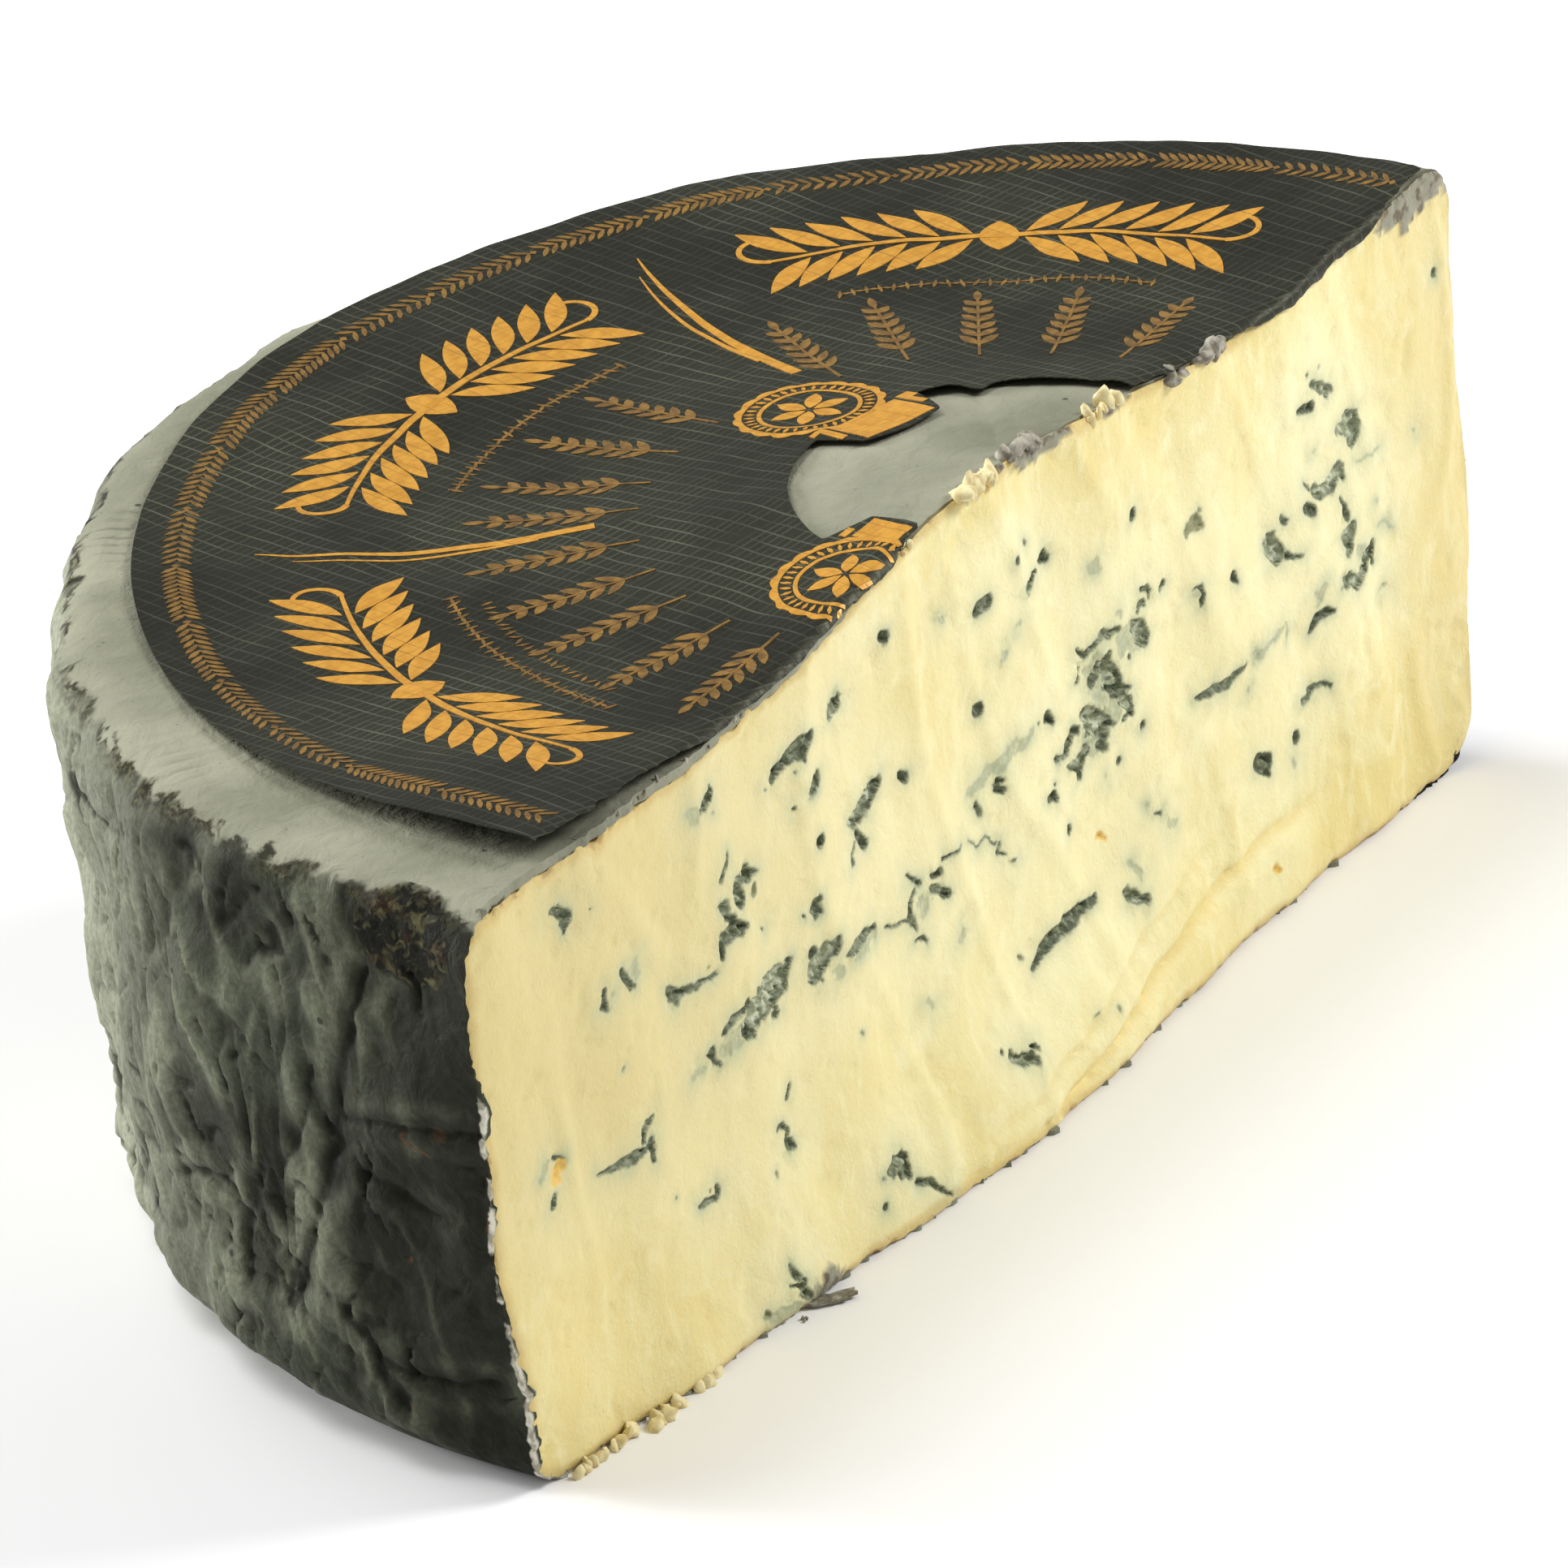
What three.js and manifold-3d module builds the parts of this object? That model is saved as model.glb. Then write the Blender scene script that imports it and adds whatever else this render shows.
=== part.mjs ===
// Half a wheel of blue-veined soft cheese with a grey mould rind and a round foil label on its top.
// Millimetres, +Z up. The cheese stands on its flat underside and the knife's cut faces -Y.
import * as THREE from "three";
import { mergeVertices } from "three/addons/utils/BufferGeometryUtils.js";
import Module from "manifold-3d";

// The wheel before it is cut
const SHOULDER_RADIUS = 100; // the widest ring, under the top rim
const FOOT_RADIUS = 95.5; // where the wall meets the rounded bottom edge
const FOOT_SWING = { x: 0.5, y: 2.6 }; // the foot is wider by these at +X and at +Y
const FOOT_ROUND = 7; // radius of the bottom edge
const RIM_ROUND = 5.5; // radius of the top rim
const RIM_HEIGHT = 70.5; // the top surface at the rim
const RIM_TILT = 0.5; // the rim is higher by this at +X and lower by it at -X
const CROWN = { x: 6, height: 3.2, spread: 22 }; // the swelling in the middle of the top
const SAG = { radius: 62, depth: 2.0, spread: 20 }; // the hollow ring round the crown
const TOP_WAVE = { height: 0.35, alongX: 0.083, startX: 1.1, alongY: 0.071, startY: -0.6 };
const SWING_PART = 0.6; // the part of the wall's height over which the foot's extra width fades
const LEVEL_PART = 0.5; // above this part of the wall's height, the wall rises and falls with the top

// The wall's upright folds: how far each stands out, how many there are round the wheel, and how they lean
const WALL_FOLDS = [
  { out: 0.55, count: 7, lean: 0.03, start: 0.5 },
  { out: 0.4, count: 13, lean: -0.07, start: 2.1 },
  { out: 0.3, count: 23, lean: 0.16, start: 0.9 },
  { out: 0.25, count: 37, lean: -0.21, start: 0 },
];
// Level bands, one above another, that wander up and down round the wheel
const WALL_BANDS = { out: 0.3, rise: 0.19, wander: 2.4, count: 3, start: 1 };

// The cut
const CUT_Y = 2.8; // the knife passed this far off the middle of the wheel
const LIP = { x: 1, reach: 5.4, spread: 31, height: 21 }; // the paste that has slumped forward at the foot
const SHELF = { x: -64, reach: 1.5, spread: 14, height: 12.6 }; // a smaller slump beside it
const KNIFE_WAVES = [
  { out: 0.5, alongX: 0.05, alongZ: 0.03 },
  { out: 0.25, alongX: 0.31, alongZ: 0.05 },
];
const FACE_WIDTH = 212;
const FACE_LOW = -4;
const FACE_HIGH = 82;
const FACE_COLUMNS = 88;
const FACE_ROWS = 34;
const CUTTER_DEPTH = 130;

// The label
const LABEL_RADIUS = 90;
const LABEL_CENTRE = { x: 4.5, y: 4 }; // the label is stuck on off centre
const LABEL_THICKNESS = 0.5;
const LABEL_GAP = 0.4; // between the rind and the label
const LABEL_INSET = 1.4; // how far the label's cut edge stands back from the cut
const LIFT = { x: -81, y: 10, height: 2.4, spread: 17 }; // the label's loose corner
const HOLE_RADIUS = 24.7;
const HOLE_CENTRE = { x: 8.6, y: 1.6 };
const TAB_WIDTH = 14; // the two tongues that reach into the hole
const TAB_RADIUS = 17;
const TAB_DEGREES = [76, 172];

// Meshing
const TURN_SEGMENTS = 100;
const EDGE_STEPS = 4;
const WALL_STEPS = 14;
const TOP_RINGS = [87, 79, 71, 62, 52, 42, 31, 20, 10];
const FLOOR_RINGS = [30, 60, 80];
const SHEET_RIM_PARTS = [0.383, 0.6]; // the rings of the sheet over the top that lie on the rounded rim
const LABEL_SEGMENTS = 48;
const HOLE_STEPS = 72;
const MERGE_DISTANCE = 1e-3;

// Hollows in the cut where the blue mould grew. Each row has the centre x and z, the half length,
// the half height, the tilt in degrees and the depth.
const HOLLOWS = [
  [-75, 50, 3.6, 1.8, 8, 1.3],
  [-52, 50, 3.6, 3.4, 50, 1.5],
  [-59, 44, 4.6, 1.5, -8, 1.1],
  [-50, 36, 8.6, 2.3, 9, 1.5],
  [-35, 36, 2.8, 2.4, 10, 1.3],
  [-28, 34, 4.6, 1.5, 0, 1.2],
  [-74, 30, 5.6, 1.5, 6, 1.3],
  [-88, 35, 2.2, 2.4, 50, 1.6],
  [-60, 18, 2.6, 1.6, 12, 1.2],
  [-45, 19, 2.0, 3.0, -60, 1.2],
  [-29, 7, 3.2, 2.2, 20, 1.5],
  [-23, 49, 3.8, 2.4, 40, 1.4],
  [-37, 61, 4.8, 1.9, 12, 1.3],
  [-27, 62, 2.0, 1.5, 10, 1.1],
  [-83, 63, 2.2, 1.6, 0, 1.1],
  [-14, 34, 3.4, 2.6, 30, 1.3],
  [-2, 9, 3.8, 1.6, -18, 1.2],
  [12, 17, 7.4, 1.9, 5, 1.6],
  [28, 15, 3.4, 1.8, -38, 1.5],
  [2, 61, 2.2, 1.5, 0, 1.2],
  [15, 61, 2.0, 1.5, 20, 1.2],
  [24, 41, 4.4, 5.0, 40, 2.0],
  [31, 46, 2.6, 2.6, 0, 1.4],
  [19, 36, 4.2, 2.2, 20, 1.4],
  [46, 32, 5.6, 1.4, -3, 1.2],
  [62, 43, 3.2, 3.0, -20, 1.8],
  [72, 46, 5.0, 2.0, 12, 1.6],
  [77, 50, 2.4, 2.4, 20, 1.6],
  [76, 36, 2.6, 5.0, 8, 1.8],
  [70, 57, 4.6, 2.0, -12, 1.8],
  [55, 19, 2.4, 1.9, -20, 1.2],
  [67, 22, 2.8, 1.3, 8, 1.2],
];

const wasm = await Module();
wasm.setup();

const gaussian = (distance, spread) => Math.exp(-0.5 * (distance / spread) ** 2);
const smooth = (t) => {
  const s = Math.min(1, Math.max(0, t));
  return s * s * (3 - 2 * s);
};

// How far the top surface stands above RIM_HEIGHT at a place on the wheel.
function topSwell(x, y) {
  const r = Math.hypot(x, y);
  const crown = CROWN.height * gaussian(Math.hypot(x - CROWN.x, y), CROWN.spread);
  const sag = SAG.depth * gaussian(r - SAG.radius, SAG.spread);
  const acrossWave = Math.sin(TOP_WAVE.alongX * x + TOP_WAVE.startX);
  const wave = TOP_WAVE.height * acrossWave * Math.cos(TOP_WAVE.alongY * y + TOP_WAVE.startY);
  return (RIM_TILT * x) / SHOULDER_RADIUS + crown - sag + wave;
}

// The wall's folds and dents at an angle round the wheel and a height, outwards.
function wallFolds(angle, z) {
  const { out, rise, wander, count, start } = WALL_BANDS;
  const bands = out * Math.sin(rise * z + wander * Math.sin(count * angle + start));
  return WALL_FOLDS.reduce(
    (sum, fold) => sum + fold.out * Math.sin(fold.count * angle + fold.lean * z + fold.start),
    bands,
  );
}

// The wheel's half section, from the middle of its floor, out and up, to the middle of its top.
function wheelProfile() {
  const points = [[0, 0], ...FLOOR_RINGS.map((r) => [r, 0])];
  const footCentre = FOOT_RADIUS - FOOT_ROUND;
  for (let i = 0; i <= EDGE_STEPS; i++) {
    const a = (i / EDGE_STEPS) * (Math.PI / 2);
    points.push([footCentre + FOOT_ROUND * Math.sin(a), FOOT_ROUND * (1 - Math.cos(a))]);
  }
  const wallTop = RIM_HEIGHT - RIM_ROUND;
  for (let i = 1; i <= WALL_STEPS; i++) {
    const t = i / WALL_STEPS;
    const belly = Math.sin((t * Math.PI) / 2);
    points.push([
      FOOT_RADIUS + (SHOULDER_RADIUS - FOOT_RADIUS) * belly,
      FOOT_ROUND + (wallTop - FOOT_ROUND) * t,
    ]);
  }
  const rimCentre = SHOULDER_RADIUS - RIM_ROUND;
  for (let i = 1; i <= EDGE_STEPS; i++) {
    const a = (i / EDGE_STEPS) * (Math.PI / 2);
    points.push([rimCentre + RIM_ROUND * Math.cos(a), wallTop + RIM_ROUND * Math.sin(a)]);
  }
  TOP_RINGS.forEach((r) => points.push([r, RIM_HEIGHT]));
  points.push([0, RIM_HEIGHT]);
  return points.map(([r, z]) => new THREE.Vector2(r, z));
}

// Moves every vertex of a geometry by a function that changes the vector in place.
function reshape(geometry, change) {
  const position = geometry.getAttribute("position");
  const point = new THREE.Vector3();
  for (let i = 0; i < position.count; i++) {
    change(point.fromBufferAttribute(position, i));
    position.setXYZ(i, point.x, point.y, point.z);
  }
  return geometry;
}

// A closed geometry as a solid: shared corners merged, and triangles without area dropped.
function solidOf(geometry) {
  const bare = new THREE.BufferGeometry();
  bare.setAttribute("position", geometry.getAttribute("position"));
  bare.setIndex(geometry.getIndex());
  const merged = mergeVertices(bare, MERGE_DISTANCE);
  const corners = [];
  const index = merged.getIndex().array;
  for (let i = 0; i < index.length; i += 3) {
    const [a, b, c] = [index[i], index[i + 1], index[i + 2]];
    if (a !== b && b !== c && c !== a) corners.push(a, b, c);
  }
  return new wasm.Manifold(
    new wasm.Mesh({
      numProp: 3,
      vertProperties: new Float32Array(merged.getAttribute("position").array),
      triVerts: new Uint32Array(corners),
    }),
  );
}

// A solid back as a geometry with flat-shaded normals.
function geometryOf(solid) {
  const mesh = solid.getMesh();
  const geometry = new THREE.BufferGeometry();
  geometry.setAttribute("position", new THREE.BufferAttribute(new Float32Array(mesh.vertProperties), 3));
  geometry.setIndex(new THREE.BufferAttribute(new Uint32Array(mesh.triVerts), 1));
  geometry.computeVertexNormals();
  return geometry;
}

// The whole wheel, with its swelling top and folded wall.
function wholeWheel() {
  const geometry = new THREE.LatheGeometry(wheelProfile(), TURN_SEGMENTS);
  geometry.rotateX(Math.PI / 2);
  const wallTop = RIM_HEIGHT - RIM_ROUND;
  reshape(geometry, (p) => {
    const r = Math.hypot(p.x, p.y);
    const angle = Math.atan2(p.y, p.x);
    const onWall = smooth(p.z / FOOT_ROUND) * smooth((r - SAG.radius) / (FOOT_RADIUS - SAG.radius));
    const low = 1 - smooth(p.z / (wallTop * SWING_PART));
    const swing = low * (FOOT_SWING.x * Math.cos(angle) + FOOT_SWING.y * Math.sin(angle));
    const out = onWall * (wallFolds(angle, p.z) + swing);
    const high = smooth((p.z / wallTop - LEVEL_PART) / (1 - LEVEL_PART));
    const lift = high * topSwell(p.x, p.y);
    const scale = r > 0 ? (r + out) / r : 1;
    p.set(p.x * scale, p.y * scale, p.z + lift);
  });
  return solidOf(geometry);
}

// How deep the hollow of one patch of mould goes at a place on the cut.
function hollowDepth([x0, z0, halfLength, halfHeight, tilt, depth], x, z) {
  const a = THREE.MathUtils.degToRad(tilt);
  const along = ((x - x0) * Math.cos(a) + (z - z0) * Math.sin(a)) / halfLength;
  const across = ((z - z0) * Math.cos(a) - (x - x0) * Math.sin(a)) / halfHeight;
  return depth * Math.max(0, 1 - along * along - across * across);
}

// How far one slump at the foot of the cut comes forward at a place on the cut.
function slump({ x: x0, reach, spread, height }, x, z) {
  return reach * gaussian(x - x0, spread) * (1 - smooth(z / height));
}

// The cut's y at a place on it: the slumps come forward, the hollows go back.
function faceY(x, z) {
  const wander = KNIFE_WAVES.reduce((sum, w) => sum + w.out * Math.sin(w.alongX * x + w.alongZ * z), 0);
  const hollow = HOLLOWS.reduce((deepest, h) => Math.max(deepest, hollowDepth(h, x, z)), 0);
  return CUT_Y + wander + hollow - slump(LIP, x, z) - slump(SHELF, x, z);
}

// What the knife took away: a block whose far side is the cut.
function cutter(setBack) {
  const height = FACE_HIGH - FACE_LOW;
  const geometry = new THREE.BoxGeometry(FACE_WIDTH, height, CUTTER_DEPTH, FACE_COLUMNS, FACE_ROWS, 1);
  geometry.rotateX(Math.PI / 2);
  geometry.translate(0, -CUTTER_DEPTH / 2, (FACE_LOW + FACE_HIGH) / 2);
  reshape(geometry, (p) => {
    if (p.y > -CUTTER_DEPTH / 2) p.y = faceY(p.x, p.z) + setBack;
  });
  return solidOf(geometry);
}

// The height of the top surface, over the rounded rim too.
function topHeight(x, y) {
  const past = Math.max(0, Math.hypot(x, y) - (SHOULDER_RADIUS - RIM_ROUND));
  const drop = RIM_ROUND - Math.sqrt(Math.max(0, RIM_ROUND ** 2 - past ** 2));
  return RIM_HEIGHT + topSwell(x, y) - drop;
}

// A sheet over the whole top, which follows the rind at a small distance and lifts at its loose corner.
function topSheet() {
  const flat = SHOULDER_RADIUS - RIM_ROUND;
  const rimRings = SHEET_RIM_PARTS.map((part) => flat + RIM_ROUND * part);
  const rings = [...[...TOP_RINGS].reverse(), flat, ...rimRings];
  const under = [0, ...rings].map((r) => new THREE.Vector2(r, 0));
  const over = [...rings].reverse().map((r) => new THREE.Vector2(r, LABEL_THICKNESS));
  const profile = [...under, ...over, new THREE.Vector2(0, LABEL_THICKNESS)];
  const geometry = new THREE.LatheGeometry(profile, TURN_SEGMENTS);
  geometry.rotateX(Math.PI / 2);
  reshape(geometry, (p) => {
    const away = Math.hypot(p.x - LIFT.x, p.y - LIFT.y);
    p.z += topHeight(p.x, p.y) + LABEL_GAP + LIFT.height * gaussian(away, LIFT.spread);
  });
  return solidOf(geometry);
}

// The label's outline as an upright prism: a disc with a round hole, and two tongues that reach into it.
function labelPrism() {
  const outline = new THREE.Shape().absarc(LABEL_CENTRE.x, LABEL_CENTRE.y, LABEL_RADIUS, 0, 2 * Math.PI);
  const tabs = TAB_DEGREES.map((degrees) => THREE.MathUtils.degToRad(degrees));
  const hole = new THREE.Path();
  for (let i = 0; i < HOLE_STEPS; i++) {
    const a = (i / HOLE_STEPS) * 2 * Math.PI;
    const inTab = (t) => Math.cos(a - t) > 0 && HOLE_RADIUS * Math.abs(Math.sin(a - t)) < TAB_WIDTH / 2;
    const r = tabs.some(inTab) ? TAB_RADIUS : HOLE_RADIUS;
    const [x, y] = [HOLE_CENTRE.x + r * Math.cos(a), HOLE_CENTRE.y + r * Math.sin(a)];
    if (i === 0) hole.moveTo(x, y);
    else hole.lineTo(x, y);
  }
  outline.holes.push(hole);
  const shape = { depth: RIM_HEIGHT, bevelEnabled: false, curveSegments: LABEL_SEGMENTS };
  const geometry = new THREE.ExtrudeGeometry(outline, shape);
  geometry.translate(0, 0, RIM_HEIGHT / 2);
  return solidOf(geometry);
}

const cheeseSolid = wholeWheel().subtract(cutter(0));
const labelSolid = topSheet().intersect(labelPrism()).subtract(cutter(LABEL_INSET));

const cheese = new THREE.Mesh(
  geometryOf(cheeseSolid),
  new THREE.MeshStandardMaterial({ color: 0xe9dca4, roughness: 0.5, metalness: 0 }),
);
cheese.name = "cheese";

const label = new THREE.Mesh(
  geometryOf(labelSolid),
  new THREE.MeshStandardMaterial({ color: 0x2b2e2d, roughness: 0.45, metalness: 0 }),
);
label.name = "label";

const half = new THREE.Group();
half.add(cheese, label);

// The origin is under the middle of the half wheel's bounds, on the surface that it stands on.
const bounds = new THREE.Box3().setFromObject(half, true);
const middle = bounds.getCenter(new THREE.Vector3());
half.position.set(-middle.x, -middle.y, -bounds.min.z);

export default half;
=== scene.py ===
"""Half a blue cheese wheel: veined paste, folded grey rind, foil label with gold ornament, and crumbs."""

from __future__ import annotations

import logging
import math
from dataclasses import dataclass, field
from enum import Enum
from typing import Callable

import bmesh
import bpy
import numpy as np
from mathutils import Matrix, Vector
from mathutils.geometry import delaunay_2d_cdt
from mathutils.kdtree import KDTree

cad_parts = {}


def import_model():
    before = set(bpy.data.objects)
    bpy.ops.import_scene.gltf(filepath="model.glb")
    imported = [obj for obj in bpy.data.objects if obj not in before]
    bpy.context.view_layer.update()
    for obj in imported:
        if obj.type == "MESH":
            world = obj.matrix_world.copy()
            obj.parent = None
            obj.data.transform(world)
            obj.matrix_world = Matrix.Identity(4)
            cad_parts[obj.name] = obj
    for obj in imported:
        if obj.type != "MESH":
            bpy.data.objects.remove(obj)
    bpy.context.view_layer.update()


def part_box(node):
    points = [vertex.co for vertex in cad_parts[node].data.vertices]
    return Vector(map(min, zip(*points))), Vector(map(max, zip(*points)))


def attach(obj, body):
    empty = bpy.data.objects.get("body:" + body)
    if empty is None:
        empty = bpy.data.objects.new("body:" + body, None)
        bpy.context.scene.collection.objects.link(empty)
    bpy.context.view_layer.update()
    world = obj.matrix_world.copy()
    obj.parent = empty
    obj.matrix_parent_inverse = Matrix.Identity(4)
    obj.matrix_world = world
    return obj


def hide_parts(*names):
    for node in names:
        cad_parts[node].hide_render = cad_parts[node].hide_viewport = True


log = logging.getLogger("cheese")
Array = np.ndarray
Place = Callable[[Array, Array, float], Array]
Masks = dict[str, Array]
Piece = bpy.types.Object
Material = bpy.types.Material
Point = tuple[float, float]

MM = 0.001
FULL_TURN = 2 * math.pi
SHARP_ANGLE = math.radians(62)
FAR_OFF = -99.0


def ease(t: Array) -> Array:
    """Goes smoothly from 0 to 1 as t does, and stays there outside."""
    s = np.clip(t, 0, 1)
    return s * s * (3 - 2 * s)


def bell(distance: Array, spread: float) -> Array:
    """A bell curve that is 1 at distance 0."""
    return np.exp(-0.5 * (distance / spread) ** 2)


class SmoothNoise:
    """Seeded gradient noise that is worked out for whole arrays of points at once."""

    def __init__(self, seed: int) -> None:
        """Shuffles the table and draws the gradients.

        Args:
            seed: The seed, which fixes the noise.
        """
        rng = np.random.default_rng(seed)
        self.table = rng.permutation(256)
        gradients = rng.normal(size=(256, 3))
        self.gradients = gradients / np.linalg.norm(gradients, axis=1)[:, None]

    def at(self, x: Array, y: Array, z: Array | float = 0) -> Array:
        """The noise at places, from about -1 to 1, with features about one unit across.

        Args:
            x, y, z: The coordinates.

        Returns:
            One value for each place.
        """
        point = np.stack(np.broadcast_arrays(x, y, z), axis=-1).astype(float)
        cell = np.floor(point).astype(int)
        part = point - cell
        fade = part**3 * (part * (part * 6 - 15) + 10)
        total = np.zeros(point.shape[:-1])
        for corner in np.ndindex(2, 2, 2):
            i, j, k = (cell[..., axis] + corner[axis] for axis in range(3))
            picked = self.table[(self.table[(self.table[i & 255] + j) & 255] + k) & 255]
            slope = (self.gradients[picked] * (part - corner)).sum(axis=-1)
            weight = np.where(np.array(corner) == 1, fade, 1 - fade).prod(axis=-1)
            total += slope * weight
        return total * 1.7

    def layered(self, x: Array, y: Array, z: Array | float = 0, layers: int = 3) -> Array:
        """Noise with finer, weaker noise on top of it.

        Args:
            x, y, z: The coordinates.
            layers: How many sizes of feature.

        Returns:
            One value for each place.
        """
        total = self.at(x, y, z)
        for layer in range(1, layers):
            step = 2.1**layer
            total = total + self.at(x * step + 7.3 * layer, y * step, z * step) * 0.55**layer
        return total


BROAD = SmoothNoise(11)
MEDIUM = SmoothNoise(23)
FINE = SmoothNoise(37)


@dataclass(frozen=True)
class WheelForm:
    """The wheel's form round its own middle, in millimetres, with the cut facing -Y."""

    middle_x: float
    middle_y: float
    shoulder_radius: float = 100.0
    foot_radius: float = 95.5
    foot_swing_x: float = 0.5
    foot_swing_y: float = 2.6
    foot_round: float = 7.0
    rim_round: float = 5.5
    rim_height: float = 70.5
    rim_tilt: float = 0.5
    crown_x: float = 6.0
    crown_height: float = 3.2
    crown_spread: float = 22.0
    sag_radius: float = 62.0
    sag_depth: float = 2.0
    sag_spread: float = 20.0
    cut_y: float = 2.8
    slumps: tuple[tuple[float, float, float, float], ...] = ((1, 5.4, 31, 21), (-64, 1.5, 14, 12.6))
    side_reach: float = 100.05
    back_reach: float = 100.63

    @classmethod
    def from_frame(cls, node: str) -> "WheelForm":
        """Finds the wheel's middle from the box of the cheese's node."""
        _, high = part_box(node)
        return cls(middle_x=high[0] / MM - cls.side_reach, middle_y=high[1] / MM - cls.back_reach)

    def placed(self, x: Array, y: Array, z: Array) -> Array:
        """Puts points of the wheel into the frame."""
        return np.stack(np.broadcast_arrays(x + self.middle_x, y + self.middle_y, z), axis=-1)

    def profile(self, steps: int = 24) -> Array:
        """The wheel's half section, from the middle of its floor, out and up, to the middle of its top.

        Args:
            steps: Points on each rounded edge.

        Returns:
            Radius and height of each point.
        """
        turn = np.linspace(0, math.pi / 2, steps)
        out, up = np.sin(turn), np.cos(turn)
        wall_top = self.rim_height - self.rim_round
        rise = np.linspace(0, 1, 3 * steps)[1:]
        belly = self.foot_radius + (self.shoulder_radius - self.foot_radius) * np.sin(rise * math.pi / 2)
        foot = self.foot_radius - self.foot_round * (1 - out), self.foot_round * (1 - up)
        wall = belly, self.foot_round + (wall_top - self.foot_round) * rise
        rim = self.shoulder_radius - self.rim_round * (1 - up), wall_top + self.rim_round * out
        bends = [np.stack(part, 1) for part in (foot, wall, (rim[0][1:], rim[1][1:]))]
        return np.concatenate([[[0, 0]], *bends, [[0, self.rim_height]]])

    def swell(self, x: Array, y: Array) -> Array:
        """How far the top stands above the rim's height at a place.

        Args:
            x, y: Place, from the wheel's middle.

        Returns:
            The height above rim_height.
        """
        crown = self.crown_height * bell(np.hypot(x - self.crown_x, y), self.crown_spread)
        sag = self.sag_depth * bell(np.hypot(x, y) - self.sag_radius, self.sag_spread)
        wave = 0.35 * np.sin(0.083 * x + 1.1) * np.cos(0.071 * y - 0.6)
        return self.rim_tilt * x / self.shoulder_radius + crown - sag + wave

    def top(self, x: Array, y: Array) -> Array:
        """The height of the top surface, over the rounded rim too.

        Args:
            x, y: Place, from the wheel's middle.

        Returns:
            The height.
        """
        past = np.clip(np.hypot(x, y) - (self.shoulder_radius - self.rim_round), 0, self.rim_round)
        drop = self.rim_round - np.sqrt(self.rim_round**2 - past**2)
        return self.rim_height + self.swell(x, y) - drop

    def folds(self, angle: Array, z: Array) -> Array:
        """The wall's broad folds, outwards.

        Args:
            angle, z: Angle round the wheel, and height.

        Returns:
            How far the wall stands out.
        """
        long = 0.55 * np.sin(7 * angle + 0.03 * z + 0.5) + 0.4 * np.sin(13 * angle - 0.07 * z + 2.1)
        short = 0.3 * np.sin(23 * angle + 0.16 * z + 0.9) + 0.25 * np.sin(37 * angle - 0.21 * z)
        return long + short + 0.3 * np.sin(0.19 * z + 2.4 * np.sin(3 * angle + 1))

    def cut(self, x: Array, z: Array) -> Array:
        """Where the cut is, without its hollows: the slumped foot comes forward.

        Args:
            x, z: Place on the cut, from the wheel's middle.

        Returns:
            The cut's y, from the wheel's middle.
        """
        place = self.cut_y + 0.5 * np.sin(0.05 * x + 0.03 * z) + 0.25 * np.sin(0.31 * x + 0.05 * z)
        for middle, reach, spread, height in self.slumps:
            place = place - reach * bell(x - middle, spread) * (1 - ease(z / height))
        return place


def make_piece(name: str, points: Array, faces: Array | list, masks: Masks | None = None) -> Piece:
    """Makes an object of a mesh, with its place in the mesh.

    Args:
        name: The piece's name.
        points: Its corners, in millimetres of the frame.
        faces: The corners' numbers, face by face.
        masks: Named values of the corners, which the materials read.

    Returns:
        The object, smooth shaded, with its sharp edges kept.
    """
    mesh = bpy.data.meshes.new(name)
    listed = faces.tolist() if isinstance(faces, np.ndarray) else faces
    mesh.from_pydata((np.asarray(points) * MM).tolist(), [], listed)
    for mask, values in (masks or {}).items():
        layer = mesh.attributes.new(mask, "FLOAT", "POINT")
        layer.data.foreach_set("value", np.asarray(values, dtype=np.float32))
    mesh.validate()
    mesh.shade_smooth()
    mesh.set_sharp_from_angle(angle=SHARP_ANGLE)
    piece = bpy.data.objects.new(name, mesh)
    bpy.context.scene.collection.objects.link(piece)
    return piece


def nearest(rim: Array, points: Array) -> tuple[Array, Array]:
    """Finds the outline's nearest point for each of many points.

    Args:
        rim: The outline's points.
        points: The points.

    Returns:
        The nearest points' numbers and distances.
    """
    tree = KDTree(len(rim))
    for number, (a, b) in enumerate(rim.tolist()):
        tree.insert((a, b, 0.0), number)
    tree.balance()
    found = [tree.find((a, b, 0.0))[1:] for a, b in points.tolist()]
    return np.array([item[0] for item in found]), np.array([item[1] for item in found])


def inside_mask(rim: Array, points: Array, margin: float) -> Array:
    """Tells which points lie inside a closed outline, clear of it.

    Args:
        rim: The outline's points, closely spaced, anticlockwise.
        points: The points.
        margin: How far a point stays from the outline's points.

    Returns:
        True for each point that does.
    """
    along = np.roll(rim, -1, axis=0) - np.roll(rim, 1, axis=0)
    inward = np.stack([-along[:, 1], along[:, 0]], axis=1)
    numbers, distance = nearest(rim, points)
    side = ((points - rim[numbers]) * inward[numbers]).sum(axis=1)
    return (side > 0) & (distance > margin)


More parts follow.
